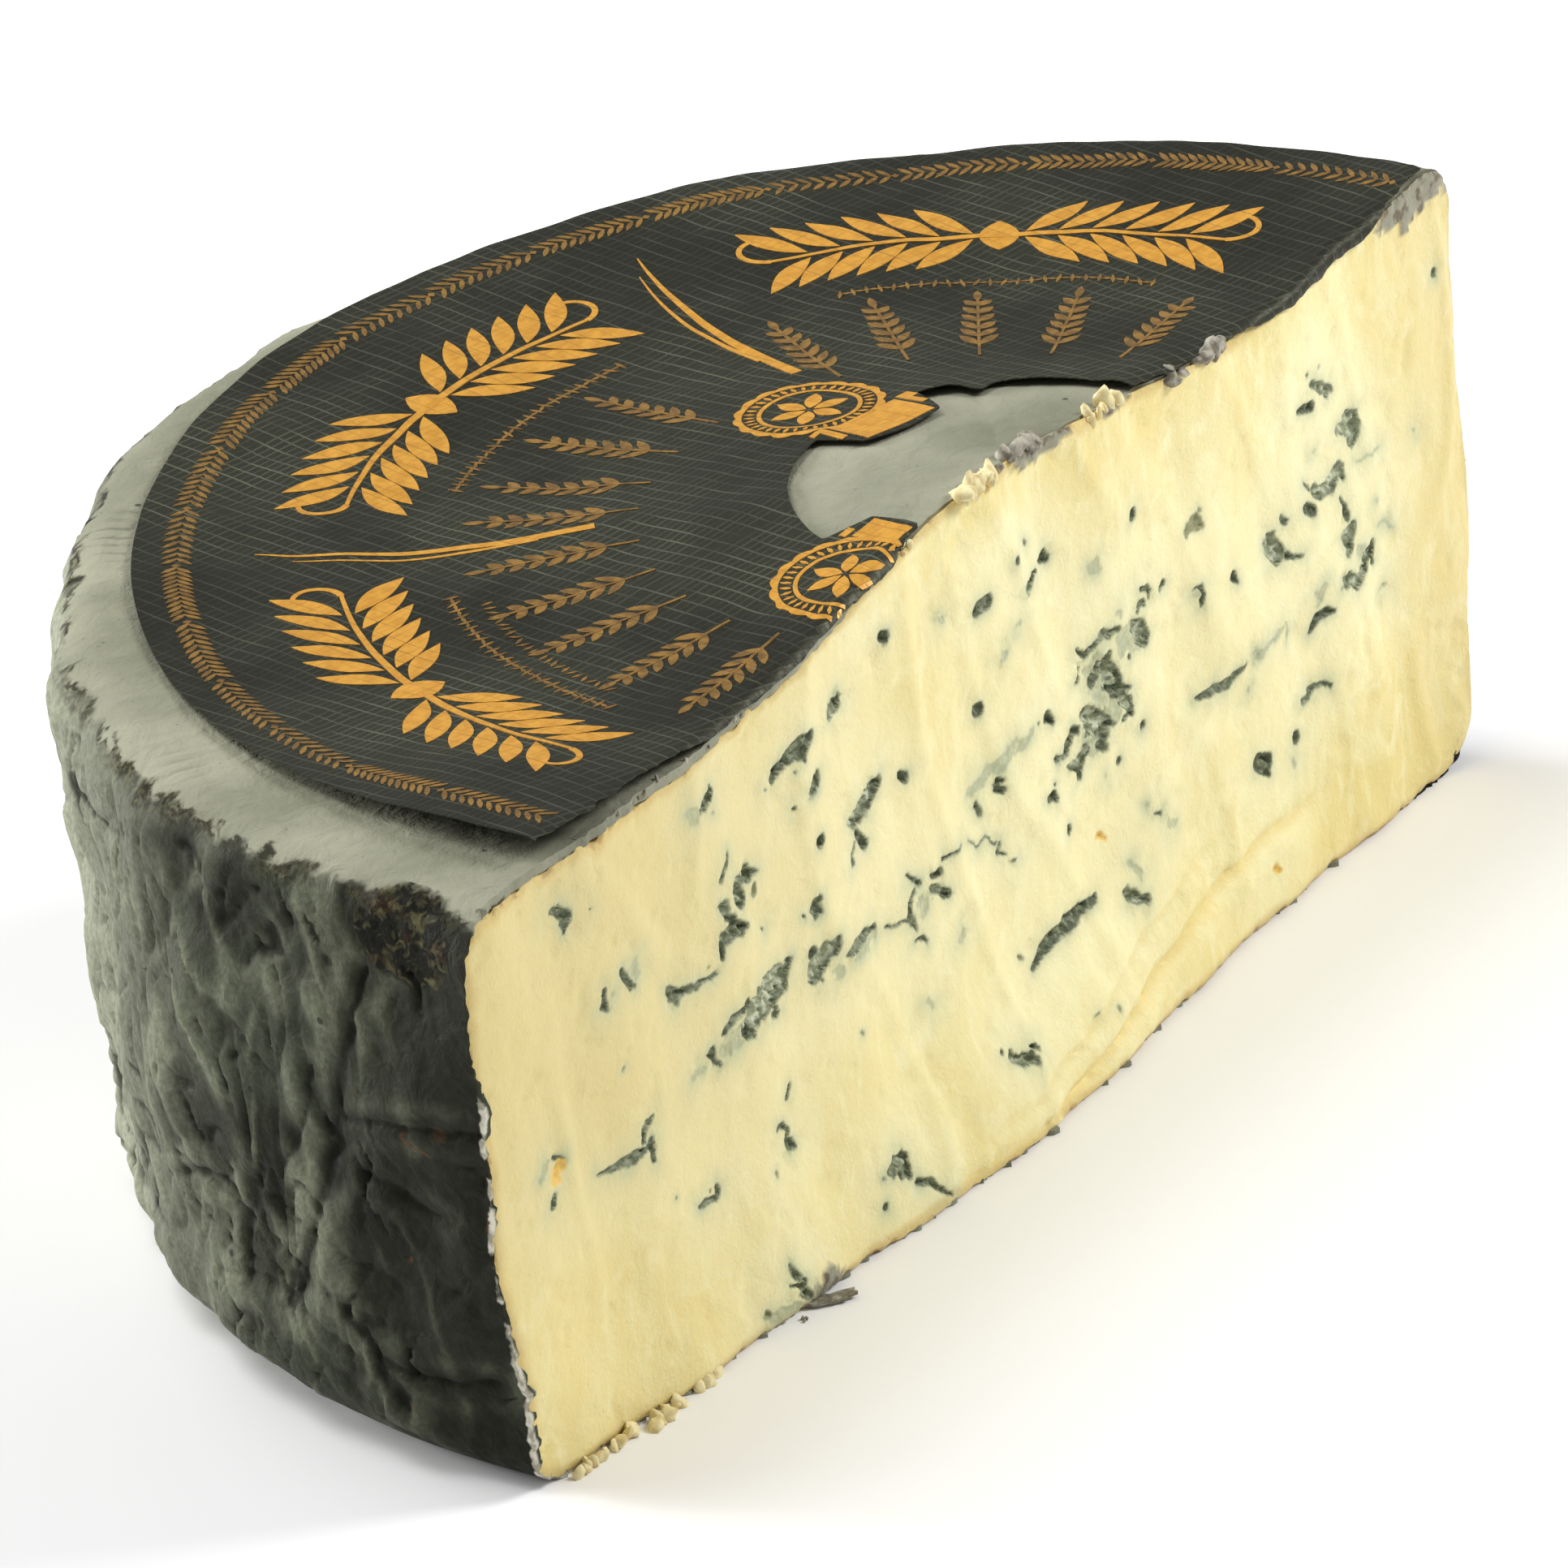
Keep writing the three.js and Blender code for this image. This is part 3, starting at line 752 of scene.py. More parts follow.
@dataclass
class Skin:
    """The cheese's outer surface with its fine relief, by angle round the wheel and length on its profile."""

    form: WheelForm
    masks: tuple[str, ...] = ("top", "ridge_bloom_and_highlight", "crack", "tick", "calm")
    seam_depth: float = 0.42
    seam_swell: float = 0.14
    crack_depth: float = 0.6
    tooth_pitch: float = 2.3
    profile: Array = field(init=False)
    lengths: Array = field(init=False)

    def __post_init__(self) -> None:
        """Measures the profile."""
        self.profile = self.form.profile()
        steps = np.linalg.norm(np.diff(self.profile, axis=0), axis=1)
        self.lengths = np.concatenate([[0], np.cumsum(steps)])

    @property
    def length(self) -> float:
        """The profile's whole length."""
        return float(self.lengths[-1])

    def length_at(self, radius: float, on_top: bool) -> float:
        """The length along the profile at a radius, on the floor or on the top."""
        return self.length - radius if on_top else radius

    def on_profile(self, length: Array) -> tuple[Array, Array]:
        """The radius and the height at a length along the profile."""
        radii, heights = self.profile.T
        return np.interp(length, self.lengths, radii), np.interp(length, self.lengths, heights)

    def point(self, angle: Array, length: Array, depth: Array | float = 0.0) -> dict[str, Array]:
        """A place on the skin or under it.

        Args:
            angle: Angle round the wheel, in radians.
            length: Length along the profile.
            depth: How far under the surface.

        Returns:
            x, y and z from the wheel's middle, and the masks of Skin.masks.
        """
        form = self.form
        radius, height = self.on_profile(length)
        ahead = np.array(self.on_profile(np.clip(length + 0.5, 0, self.length)))
        step_r, step_z = ahead - np.array(self.on_profile(np.clip(length - 0.5, 0, self.length)))
        size = np.hypot(step_r, step_z) + 1e-9
        out_r, out_z = step_z / size, -step_r / size
        wall_top = form.rim_height - form.rim_round
        past_sag = ease((radius - form.sag_radius) / (form.foot_radius - form.sag_radius))
        low = 1 - ease(height / (wall_top * 0.6))
        swing = low * (form.foot_swing_x * np.cos(angle) + form.foot_swing_y * np.sin(angle))
        grown = radius + ease(height / form.foot_round) * past_sag * (form.folds(angle, height) + swing)
        raise_by = ease((height - wall_top * 0.5) / (wall_top * 0.5))
        swell = form.swell(radius * np.cos(angle), radius * np.sin(angle))
        marks = self.marks(angle * form.shoulder_radius, height, radius, out_z)
        out = marks.pop("out") - depth
        return {
            "x": (grown + out * out_r) * np.cos(angle),
            "y": (grown + out * out_r) * np.sin(angle),
            "z": np.maximum(height + raise_by * swell + out * out_z, 0),
            "top": np.clip(out_z, 0, 1),
            **marks,
        }

    def seams(self, around: Array, height: Array) -> tuple[Array, Array]:
        """The wall's deepest creases.

        Args:
            around, height: Length round the wall, and height on the plain profile.

        Returns:
            Two values that are 1 in a crease and on the swellings beside it.
        """
        wavy = MEDIUM.at(around / 4, height / 4, 51)
        bent, raised = around + 0.9 * wavy, height + 0.6 * wavy
        inside = np.max([Chain(stops).field(bent.ravel(), raised.ravel()) for stops in SEAMS], axis=0)
        inside = inside.reshape(bent.shape)
        return ease(inside / 0.8 + 0.75), bell(inside + 2.2, 1)

    def marks(self, around: Array, height: Array, radius: Array, up: Array) -> dict[str, Array]:
        """The skin's dents, wrinkles, cracks and combed lines, with paler bloom and painted highlight on its
        ridges, and painted shade in its dips and on the wall near the cut.

        Args:
            around, height: Length round the wall, and height on the plain profile.
            radius: Radius on the plain profile.
            up: How far the surface faces up, from 0 to 1.

        Returns:
            out, how far the surface stands out, and the masks of Skin.masks but top.
        """
        wall = (1 - ease(up / 0.75)) * ease((height - 1) / 5)
        from_cut = np.minimum(around, math.pi * self.form.shoulder_radius - around)
        calm = 0.35 + 0.65 * ease((from_cut - 5) / 30)
        bend = 3.4 * BROAD.at(around / 26, height / 22, 9)
        lean = around + 0.3 * height + bend
        back = around - 0.42 * height - bend
        dents = 0.6 * BROAD.layered(around / 16, height / 18, 0, 2)
        soft = 0.5 * MEDIUM.at(lean / 8, height / 22, 1) + 0.4 * MEDIUM.at(back / 10, height / 16, 8)
        patchy = ease(BROAD.at(around / 13, height / 12, 7) * 1.4 + 0.5)
        short = ease(MEDIUM.at(around / 8, height / 10, 21) * 1.8 + 0.4)
        ridge_lean = bell(MEDIUM.at(lean / 7.5, height / 30, 3), 0.13) * short
        ridge_back = bell(BROAD.at(back / 10, height / 26, 5), 0.07) * (1 - short) * (1 - 0.6 * patchy)
        valley = bell(MEDIUM.at(back / 6, height / 20, 27), 0.05) * (1 - 0.7 * short)
        valley = np.maximum(valley, bell(MEDIUM.at(lean / 9, height / 24, 41), 0.035) * (1 - 0.6 * patchy))
        level = bell(MEDIUM.at(around / 24, height / 6, 33), 0.06) * (1 - ease((height - 22) / 14))
        fine = 0.07 * FINE.layered(lean / 2.6, height / 7, 3, 2)
        dash = ease(FINE.at(lean / 1.7, height / 6, 2) * 3.2 - 1.35) * patchy
        rare = ease(MEDIUM.at(around / 9, height / 9, 12) * 2.4 - 0.3)
        crack_lean = bell(BROAD.at(lean / 17, height / 40, 4), 0.013) * (1 - patchy) * rare
        crack_level = bell(MEDIUM.at(around / 19, height / 10, 6), 0.022) * rare
        pits = ease(FINE.at(lean / 2.2, height / 2.8, 15) * 2.6 - 1.1) * patchy
        crack = wall * np.maximum(np.maximum(crack_lean, crack_level), 0.8 * calm * pits)
        streaks = 0.4 * ridge_lean + 0.26 * ridge_back + fine - 0.55 * dash - 0.5 * valley - 0.45 * level
        seam, swell = self.seams(around, height)
        deep = self.seam_swell * swell - self.seam_depth * seam
        relief = wall * (dents + calm * (soft + streaks) + deep) - self.crack_depth * crack
        on_top = ease((up - 0.55) / 0.4)
        rim = bell(radius - (self.form.shoulder_radius - self.form.rim_round - 0.5), 3)
        teeth = np.sin(around * FULL_TURN / self.tooth_pitch + 3 * BROAD.at(around / 20, 0, 2))
        comb = rim * ease(BROAD.at(around / 30, 1, 5) * 2 + 0.3) * (0.5 + 0.5 * teeth)
        lip = bell(up - 0.66, 0.16) * ease(MEDIUM.layered(around / 3, height / 2.2, 2, 3) * 1.8 + 0.1)
        felt = 0.09 * MEDIUM.at(around / 5, radius / 5, 4)
        high = ease((height - 40) / 20)
        # Paler on the ridges, soft bulges and swellings: partly the rind's pale bloom streaks, partly painted
        # highlight where the surface stands out.
        grey = calm * (0.6 * ridge_lean + 0.5 * ridge_back + 0.6 * soft + 0.2) + 0.22 * swell
        # Darker in the cracks, slits, valleys, level creases and seams: partly the rind's own dark cracks and
        # slits, partly painted shade in these dips.
        dark = crack + wall * (calm * (0.9 * dash + 0.55 * valley + 0.45 * level) + 0.6 * seam)
        return {
            "out": relief + on_top * (felt - 0.14 * comb) + 0.25 * lip * high,
            "ridge_bloom_and_highlight": np.clip(grey, 0, 1),
            "crack": np.clip(dark, 0, 1),
            "tick": comb * high,
            # calm is 1 at the cut and fades out within about 50 mm: the rind's colour uses it for painted
            # shade on the wall near the cut, and to place the rust.
            "calm": 1 - ease((from_cut - 2) / 50),
        }

    def cut_angle(self, length: Array, left: bool, proud: Array | float = 0.0) -> Array:
        """The angle at which the skin meets the cut.

        Args:
            length: Length along the profile.
            left: Whether the side at -X is meant.
            proud: How far before the cut the skin ends.

        Returns:
            The angle round the wheel.
        """
        radius, _ = self.on_profile(length)
        angle = np.arcsin(np.clip(self.form.cut_y / np.maximum(radius, 1e-6), -1, 1))
        for _ in range(3):
            place = self.point(math.pi - angle if left else angle, length)
            target = self.form.cut(place["x"], place["z"]) - proud
            angle = np.arcsin(np.clip(target / np.maximum(np.hypot(place["x"], place["y"]), 1e-6), -1, 1))
        return math.pi - angle if left else angle


@dataclass(frozen=True)
class Colour:
    """A colour as it shows on a screen, from 0 to 255."""

    red: float
    green: float
    blue: float

    @property
    def linear(self) -> tuple[float, ...]:
        """The colour as light, for a shader's socket."""
        parts = [channel / 255 for channel in (self.red, self.green, self.blue)]
        lit = [part / 12.92 if part <= 0.04045 else ((part + 0.055) / 1.055) ** 2.4 for part in parts]
        return (*lit, 1.0)


Socket = bpy.types.NodeSocket
Node = bpy.types.Node
Tree = bpy.types.NodeTree


class NodeBuilder:
    """A node tree under construction, with short methods for the nodes that it needs."""

    def __init__(self, tree: Tree) -> None:
        """Takes the empty tree."""
        self.tree = tree

    def feed(self, socket: Socket, value: object) -> None:
        """Gives an input its value.

        Args:
            socket: The input.
            value: A number, a vector, a Colour or an output.
        """
        if isinstance(value, Socket):
            self.tree.links.new(value, socket)
        else:
            socket.default_value = value.linear if isinstance(value, Colour) else value

    def add(self, kind: str, inputs: dict[str | int, object], **settings: object) -> Node:
        """Adds a node.

        Args:
            kind: The node's kind.
            inputs: What its inputs get, by name or number.
            **settings: The node's own settings.

        Returns:
            The node.
        """
        node = self.tree.nodes.new(kind)
        for name, value in settings.items():
            setattr(node, name, value)
        for name, value in inputs.items():
            self.feed(node.inputs[name], value)
        return node

    def math(self, operation: str, first: object, second: object = 0.0) -> Socket:
        """One sum of two values."""
        return self.add("ShaderNodeMath", {0: first, 1: second}, operation=operation).outputs[0]

    def times(self, first: object, second: object) -> Socket:
        """The product of two values."""
        return self.math("MULTIPLY", first, second)

    def noise(self, place: Socket, scale: object, detail: float = 3.0, distortion: float = 0.0) -> Socket:
        """Noise from 0 to 1, with scale features per millimetre."""
        inputs = {"Vector": place, "Scale": scale, "Detail": detail, "Distortion": distortion}
        return self.add("ShaderNodeTexNoise", inputs).outputs["Fac"]

    def ramp(self, value: Socket, low: float, high: object, first: float = 0.0, last: float = 1.0) -> Socket:
        """Maps the stretch of values from low to high to the one from first to last, smoothly."""
        inputs = {"Value": value, "From Min": low, "From Max": high, "To Min": first, "To Max": last}
        return self.add("ShaderNodeMapRange", inputs, interpolation_type="SMOOTHSTEP").outputs["Result"]


class Shader(NodeBuilder):
    """A material under construction, round one Principled shader."""

    def __init__(self, name: str) -> None:
        """Starts the material.

        Args:
            name: The material's name.
        """
        self.material = bpy.data.materials.new(name)
        self.material.use_nodes = True
        super().__init__(self.material.node_tree)
        self.shader = self.tree.nodes["Principled BSDF"]

    def finished(self, **values: object) -> Material:
        """Sets or links the shader's inputs and hands over the material.

        Args:
            **values: The inputs by name, with underscores for spaces.

        Returns:
            The material.
        """
        for name, value in values.items():
            self.feed(self.shader.inputs[name.replace("_", " ")], value)
        return self.material

    def coordinates(self, turn: float = 0.0, scale: tuple[float, float, float] = (1, 1, 1)) -> Socket:
        """Object coordinates in millimetres, turned and stretched.

        Args:
            turn: Turn about Z, in radians.
            scale: Stretch along each axis, after the turn.

        Returns:
            The coordinates.
        """
        place = self.add("ShaderNodeTexCoord", {}).outputs["Object"]
        inputs = {"Vector": place, "Rotation": (0, 0, turn), "Scale": tuple(MM / part for part in scale)}
        return self.add("ShaderNodeMapping", inputs, vector_type="TEXTURE").outputs["Vector"]

    def mask(self, name: str) -> Socket:
        """Reads a named value of the mesh."""
        return self.add("ShaderNodeAttribute", {}, attribute_name=name).outputs["Fac"]

    def cells(self, place: Socket, scale: float) -> Socket:
        """Distance to the nearest of many scattered points, in parts of their spacing."""
        return self.add("ShaderNodeTexVoronoi", {"Vector": place, "Scale": scale}).outputs["Distance"]

    def mix(self, amount: object, first: object, second: object) -> Socket:
        """Mixes two colours, with amount of the second."""
        return self.add("ShaderNodeMix", {0: amount, 6: first, 7: second}, data_type="RGBA").outputs[2]

    def bump(self, height: Socket, distance: float, strength: float, below: Socket | None = None) -> Socket:
        """Turns a height into a tilted normal.

        Args:
            height: The height, from 0 to 1.
            distance: What a height of 1 means, in millimetres.
            strength: How much of it shows.
            below: A normal that it is added to.

        Returns:
            The normal.
        """
        inputs: dict[str | int, object] = {"Distance": distance * MM, "Strength": strength, "Height": height}
        if below is not None:
            inputs["Normal"] = below
        return self.add("ShaderNodeBump", inputs).outputs["Normal"]

    def layers(self, base: Socket, *coats: tuple[Socket, object]) -> Socket:
        """Lays colours over a base, one after the other.

        Args:
            base: The base colour.
            *coats: How much of each coat shows, and its colour.

        Returns:
            The colour on top.
        """
        for amount, colour in coats:
            base = self.mix(amount, base, colour)
        return base

    def group(self, tree: Tree, **values: object) -> Node:
        """Places a shared group with this material's own values, by name with underscores for spaces."""
        inputs = {name.replace("_", " "): value for name, value in values.items()}
        return self.add("ShaderNodeGroup", inputs, node_tree=tree)

    def grain(self, tree: Tree, place: Socket, mottle: float, grain: float, contrast: float) -> list[Socket]:
        """Places the grain group with its two scales and contrast, and gives its mottle and grain."""
        node = self.group(tree, Vector=place, Mottle_Scale=mottle, Grain_Scale=grain, Contrast=contrast)
        return [node.outputs["Mottle"], node.outputs["Grain"]]


class SharedGroup(NodeBuilder):
    """A shader group under construction, with a vector and numbers in and values out."""

    def __init__(self, name: str, numbers: dict[str, float], results: tuple[str, ...]) -> None:
        """Makes the group's sockets.

        Args:
            name: The group's name.
            numbers: Its inputs besides the vector, with their first values.
            results: Its outputs.
        """
        super().__init__(bpy.data.node_groups.new(name, "ShaderNodeTree"))
        sockets = self.tree.interface
        sockets.new_socket("Vector", in_out="INPUT", socket_type="NodeSocketVector")
        for number, value in numbers.items():
            sockets.new_socket(number, in_out="INPUT", socket_type="NodeSocketFloat").default_value = value
        for result in results:
            sockets.new_socket(result, in_out="OUTPUT", socket_type="NodeSocketFloat")
        self.given = self.add("NodeGroupInput", {}).outputs
        self.results = self.add("NodeGroupOutput", {}).inputs


def grain_group() -> Tree:
    """Makes the shared group of soft mottling and fine grain.

    Returns:
        A group with Vector, Mottle Scale, Grain Scale and Contrast in, and Mottle and Grain out.
    """
    numbers = {"Mottle Scale": 0.1, "Grain Scale": 2.0, "Contrast": 0.5}
    group = SharedGroup("grain", numbers, ("Mottle", "Grain"))
    given = group.given
    mottle = group.noise(given["Vector"], given["Mottle Scale"], 4.0)
    parts = {0: group.math("SUBTRACT", mottle, 0.5), 1: given["Contrast"], 2: 0.5}
    centred = group.add("ShaderNodeMath", parts, operation="MULTIPLY_ADD").outputs[0]
    group.feed(group.results["Mottle"], centred)
    group.feed(group.results["Grain"], group.noise(given["Vector"], given["Grain Scale"], 3.0))
    return group.tree


def thread_group() -> Tree:
    """Makes the shared group of thin raised threads that run along Y.

    Returns:
        A group with Vector, in millimetres, Spacing and Width in, and Thread out.
    """
    group = SharedGroup("threads", {"Spacing": 1.8, "Width": 0.12}, ("Thread",))
    given = group.given
    split = group.add("ShaderNodeSeparateXYZ", {0: given["Vector"]}).outputs
    wobble = group.times(group.noise(given["Vector"], 0.09, 1.0), 0.9)
    count = group.math("DIVIDE", group.math("ADD", split["X"], wobble), given["Spacing"])
    off = group.math("ABSOLUTE", group.math("SUBTRACT", group.math("FRACT", count), 0.5))
    line = group.ramp(off, 0.0, given["Width"], 1.0, 0.0)
    spot = {"X": group.math("FLOOR", count), "Y": group.times(split["Y"], 0.07)}
    fading = group.noise(group.add("ShaderNodeCombineXYZ", spot).outputs[0], 1.7, 2.0)
    strength = group.add("ShaderNodeMapRange", {"Value": fading, "From Min": 0.3, "From Max": 0.62})
    group.feed(group.results["Thread"], group.times(line, strength.outputs[0]))
    return group.tree


@dataclass(frozen=True)
class PasteFinish:
    """Moist cream paste with blue-grey mould in its hollows."""

    grain: Tree
    cream: Colour = Colour(248, 235, 174)
    butter: Colour = Colour(237, 220, 148)
    pale: Colour = Colour(255, 249, 203)
    warm: Colour = Colour(238, 214, 138)
    halo: Colour = Colour(186, 195, 160)
    crust: Colour = Colour(150, 148, 130)
    crust_dark: Colour = Colour(104, 92, 74)
    mould_grey: Colour = Colour(150, 157, 126)
    mould_dark: Colour = Colour(86, 95, 72)
    mould_pale: Colour = Colour(206, 211, 184)
    olive: Colour = Colour(120, 122, 78)
    yellow: Colour = Colour(238, 200, 108)
    shade: Colour = Colour(222, 204, 142)
    margin: Colour = Colour(216, 190, 122)
    margin_dark: Colour = Colour(160, 120, 66)
    shine: Colour = Colour(255, 250, 226)

    def build(self) -> Material:
        """Makes the material."""
        s = Shader("paste")
        place = s.coordinates()
        mottle, grain = s.grain(self.grain, place, 0.05, 3.4, 1.5)
        drawn = s.noise(s.coordinates(0, (1, 1, 0.3)), 0.28, 3, 1.5)
        torn = s.times(s.ramp(s.mask("margin"), 0.75, 1), s.ramp(s.noise(place, 0.5, 4), 0.5, 0.62))
        speckle = s.noise(place, 1.7, 4, 0.5)
        dark = s.math("ADD", s.mask("dark"), s.ramp(speckle, 0.5, 0.34, 0, 0.3))
        mould = s.layers(
            s.mix(s.mask("pale"), self.mould_grey, self.mould_pale),
            (s.ramp(dark, 0.2, 1), self.mould_dark),
            (s.ramp(speckle, 0.56, 0.7, 0, 0.3), self.mould_pale),
            (s.times(s.mask("olive"), 0.85), self.olive),
        )
        crust = s.mix(s.ramp(s.noise(place, 0.6, 4), 0.45, 0.6), self.crust, self.crust_dark)
        base = s.layers(
            s.mix(s.ramp(mottle, 0.25, 0.8), self.butter, self.cream),
            (s.ramp(grain, 0.35, 0.7, 0.35, 0), self.warm),
            (s.ramp(s.noise(place, 0.16, 3, 0.8), 0.54, 0.72, 0, 0.5), self.pale),
            (s.ramp(drawn, 0.5, 0.68, 0, 0.34), self.pale),
            (s.ramp(drawn, 0.46, 0.3, 0, 0.35), self.warm),
            (s.times(s.mask("glow"), 0.62), self.pale),
            # Painted shade: warmer and darker along the creases above the slumped foot.
            (s.ramp(s.mask("fold"), 0.1, 1, 0, 0.6), self.warm),
            (s.times(s.mask("shade"), 0.85), self.shade),
            (s.ramp(s.mask("margin"), 0, 1, 0, 0.85), self.margin),
            (s.times(torn, 0.7), self.margin_dark),
            (s.times(s.mask("halo"), 0.75), self.halo),
            (s.mask("mould"), mould),
            (s.mask("yellow"), self.yellow),
            (s.mask("flap"), crust),
        )
        fine = s.bump(s.noise(place, 2.2, 4, 0.5), 0.14, 0.7)
        return s.finished(
            Base_Color=base,
            Roughness=s.ramp(s.noise(place, 0.7, 3), 0.3, 0.75, 0.36, 0.6),
            Specular_IOR_Level=0.4,
            Specular_Tint=self.shine,
            Subsurface_Weight=0.15,
            Subsurface_Radius=(1, 0.72, 0.36),
            Subsurface_Scale=0.0011,
            Normal=s.bump(s.noise(place, 0.4, 4, 0.8), 0.32, 0.6, fine),
        )


@dataclass(frozen=True)
class RindFinish:
    """Grey mould rind: dark and folded on the wall, pale and bloomy on the top, with painted shade near the
    cut and in the dips, and painted light on ridges and the far-left wall.
    """

    grain: Tree
    wall: Colour = Colour(66, 70, 57)
    wall_dark: Colour = Colour(32, 34, 26)
    wall_cut_shade: Colour = Colour(24, 26, 20)
    wall_pale: Colour = Colour(150, 155, 130)
    wall_far_light_and_bloom: Colour = Colour(172, 175, 153)
    crack: Colour = Colour(11, 12, 8)
    bloom: Colour = Colour(158, 158, 138)
    bloom_dark: Colour = Colour(128, 129, 111)
    olive: Colour = Colour(84, 80, 54)
    olive_dark: Colour = Colour(30, 28, 17)
    rust: Colour = Colour(98, 66, 42)
    torn: Colour = Colour(206, 202, 186)
    torn_dark: Colour = Colour(150, 146, 128)
    shine: Colour = Colour(255, 252, 224)

    def build(self) -> Material:
        """Makes the material."""
        s = Shader("rind")
        place = s.coordinates()
        mottle, grain = s.grain(self.grain, place, 0.045, 1.3, 1.9)
        rust = s.times(s.mask("calm"), s.ramp(s.noise(place, 0.2, 3, 0.5), 0.67, 0.74, 0, 0.6))
        wall = s.layers(
            s.mix(s.ramp(mottle, 0.3, 0.75), self.wall_dark, self.wall),
            # Painted shade: the wall is darker near the cut, where less light falls.
            (s.ramp(s.mask("calm"), 0, 1, 0, 0.8), self.wall_cut_shade),
            # Painted grazing light together with paler bloom on the wall far from the cut.
            (s.times(s.mask("far"), 0.8), self.wall_far_light_and_bloom),
            # Paler on ridges: pale bloom together with painted highlight.
            (s.ramp(s.mask("ridge_bloom_and_highlight"), 0.15, 1, 0, 0.5), self.wall_pale),
            (s.ramp(grain, 0.4, 0.62, 0.22, 0), self.crack),
            (rust, self.rust),
        )
        top = s.layers(
            s.mix(s.ramp(mottle, 0.2, 0.8), self.bloom_dark, self.bloom),
            (s.ramp(grain, 0.66, 0.76, 0, 0.35), self.wall),
            (s.ramp(s.mask("tick"), 0.35, 1, 0, 0.5), self.wall),
        )
        ragged = s.times(s.math("SUBTRACT", s.noise(place, 0.4, 5, 0.5), 0.5), 0.6)
        level = s.math("ADD", s.mask("top"), ragged)
        patch = s.ramp(s.noise(place, 0.13, 3, 0.5), 0.4, 0.52)
        below = s.times(s.ramp(level, 0.35, 0.6), s.ramp(level, 0.86, 0.74))
        specks = s.ramp(s.noise(place, 0.7, 3), 0.4, 0.5)
        line = s.times(s.ramp(s.math("ABSOLUTE", s.math("SUBTRACT", level, 0.73)), 0.1, 0.03), specks)
        crust = s.mix(s.ramp(grain, 0.42, 0.6), self.olive_dark, self.olive)
        burnt = s.layers(
            s.mix(s.ramp(s.noise(place, 0.6, 4, 1), 0.46, 0.74), self.crack, self.olive),
            (s.ramp(s.noise(place, 0.35, 3, 1), 0.58, 0.66, 0, 0.15), self.rust),
        )
        corner = s.math("ADD", s.mask("corner"), s.times(ragged, 1.4))
        torn = s.mix(s.ramp(s.noise(place, 0.9, 3), 0.4, 0.6), self.torn_dark, self.torn)
        base = s.layers(
            s.mix(s.ramp(level, 0.6, 0.86), wall, top),
            (s.times(s.times(below, patch), s.mask("crust")), crust),
            (s.times(s.times(line, patch), 0.8), self.olive_dark),
            (s.ramp(corner, 0.34, 0.6), burnt),
            # Darker in the cracks and dips: the rind's dark cracks together with painted shade.
            (s.ramp(s.mask("crack"), 0.15, 0.85, 0, 0.85), self.crack),
            (s.ramp(s.cells(place, 0.14), 0.07, 0.045, 0, 0.7), self.crack),
            (s.ramp(s.mask("torn"), 0.25, 0.7), torn),
        )
        fine = s.bump(s.noise(place, 2.4, 3, 0.4), 0.12, 0.6)
        return s.finished(
            Base_Color=base,
            Roughness=s.ramp(s.noise(place, 0.5, 2), 0.3, 0.7, 0.52, 0.7),
            Specular_IOR_Level=0.09,
            Specular_Tint=self.shine,
            Normal=s.bump(s.noise(place, 0.3, 4, 0.8), 0.8, 0.6, fine),
        )


@dataclass(frozen=True)
class LabelFinish:
    """Black foil with a fine woven embossing."""

    threads: Tree
    grain: Tree
    black: Colour = Colour(38, 41, 33)
    soot: Colour = Colour(24, 26, 21)
    thread: Colour = Colour(112, 115, 97)
    shine: Colour = Colour(255, 250, 216)
    turn: float = math.radians(-9)
    weft_turn: float = math.radians(75)

    def thread_height(self, s: Shader) -> Socket:
        """The raised threads of both directions.

        Args:
            s: The material that shows them.

        Returns:
            Their height.
        """
        warp = s.group(self.threads, Vector=s.coordinates(self.turn), Spacing=1.9, Width=0.1)
        weft = s.group(self.threads, Vector=s.coordinates(self.weft_turn), Spacing=0.95, Width=0.2)
        return s.math("MAXIMUM", warp.outputs["Thread"], s.times(weft.outputs["Thread"], 0.5))

    def build(self) -> Material:
        """Makes the material."""
        s = Shader("label_foil")
        place = s.coordinates()
        height = self.thread_height(s)
        mottle, grain = s.grain(self.grain, place, 0.03, 1.6, 2.2)
        base = s.mix(s.ramp(mottle, 0.2, 0.8), self.soot, self.black)
        fine = s.bump(s.noise(place, 3.2, 2), 0.06, 0.4)
        return s.finished(
            Base_Color=s.mix(s.times(height, s.ramp(mottle, 0.25, 0.85, 0.2, 0.75)), base, self.thread),
            Roughness=s.ramp(grain, 0.3, 0.7, 0.4, 0.56),
            Specular_IOR_Level=0.36,
            Specular_Tint=self.shine,
            Normal=s.bump(height, 0.08, 0.8, fine),
        )


@dataclass(frozen=True)
class GoldFinish:
    """Ochre gold print on the same embossed foil."""

    foil: LabelFinish
    name: str = "gold_print"
    gold: Colour = Colour(222, 163, 62)
    shade: Colour = Colour(206, 147, 52)
    metal: float = 0.2

    def build(self) -> Material:
        """Makes the material."""
        s = Shader(self.name)
        height = self.foil.thread_height(s)
        base = s.mix(s.ramp(s.noise(s.coordinates(), 0.7, 3), 0.35, 0.65), self.shade, self.gold)
        return s.finished(
            Base_Color=s.mix(s.times(height, 0.35), base, self.foil.black),
            Metallic=self.metal,
            Roughness=0.4,
            Normal=s.bump(height, 0.06, 0.7),
        )


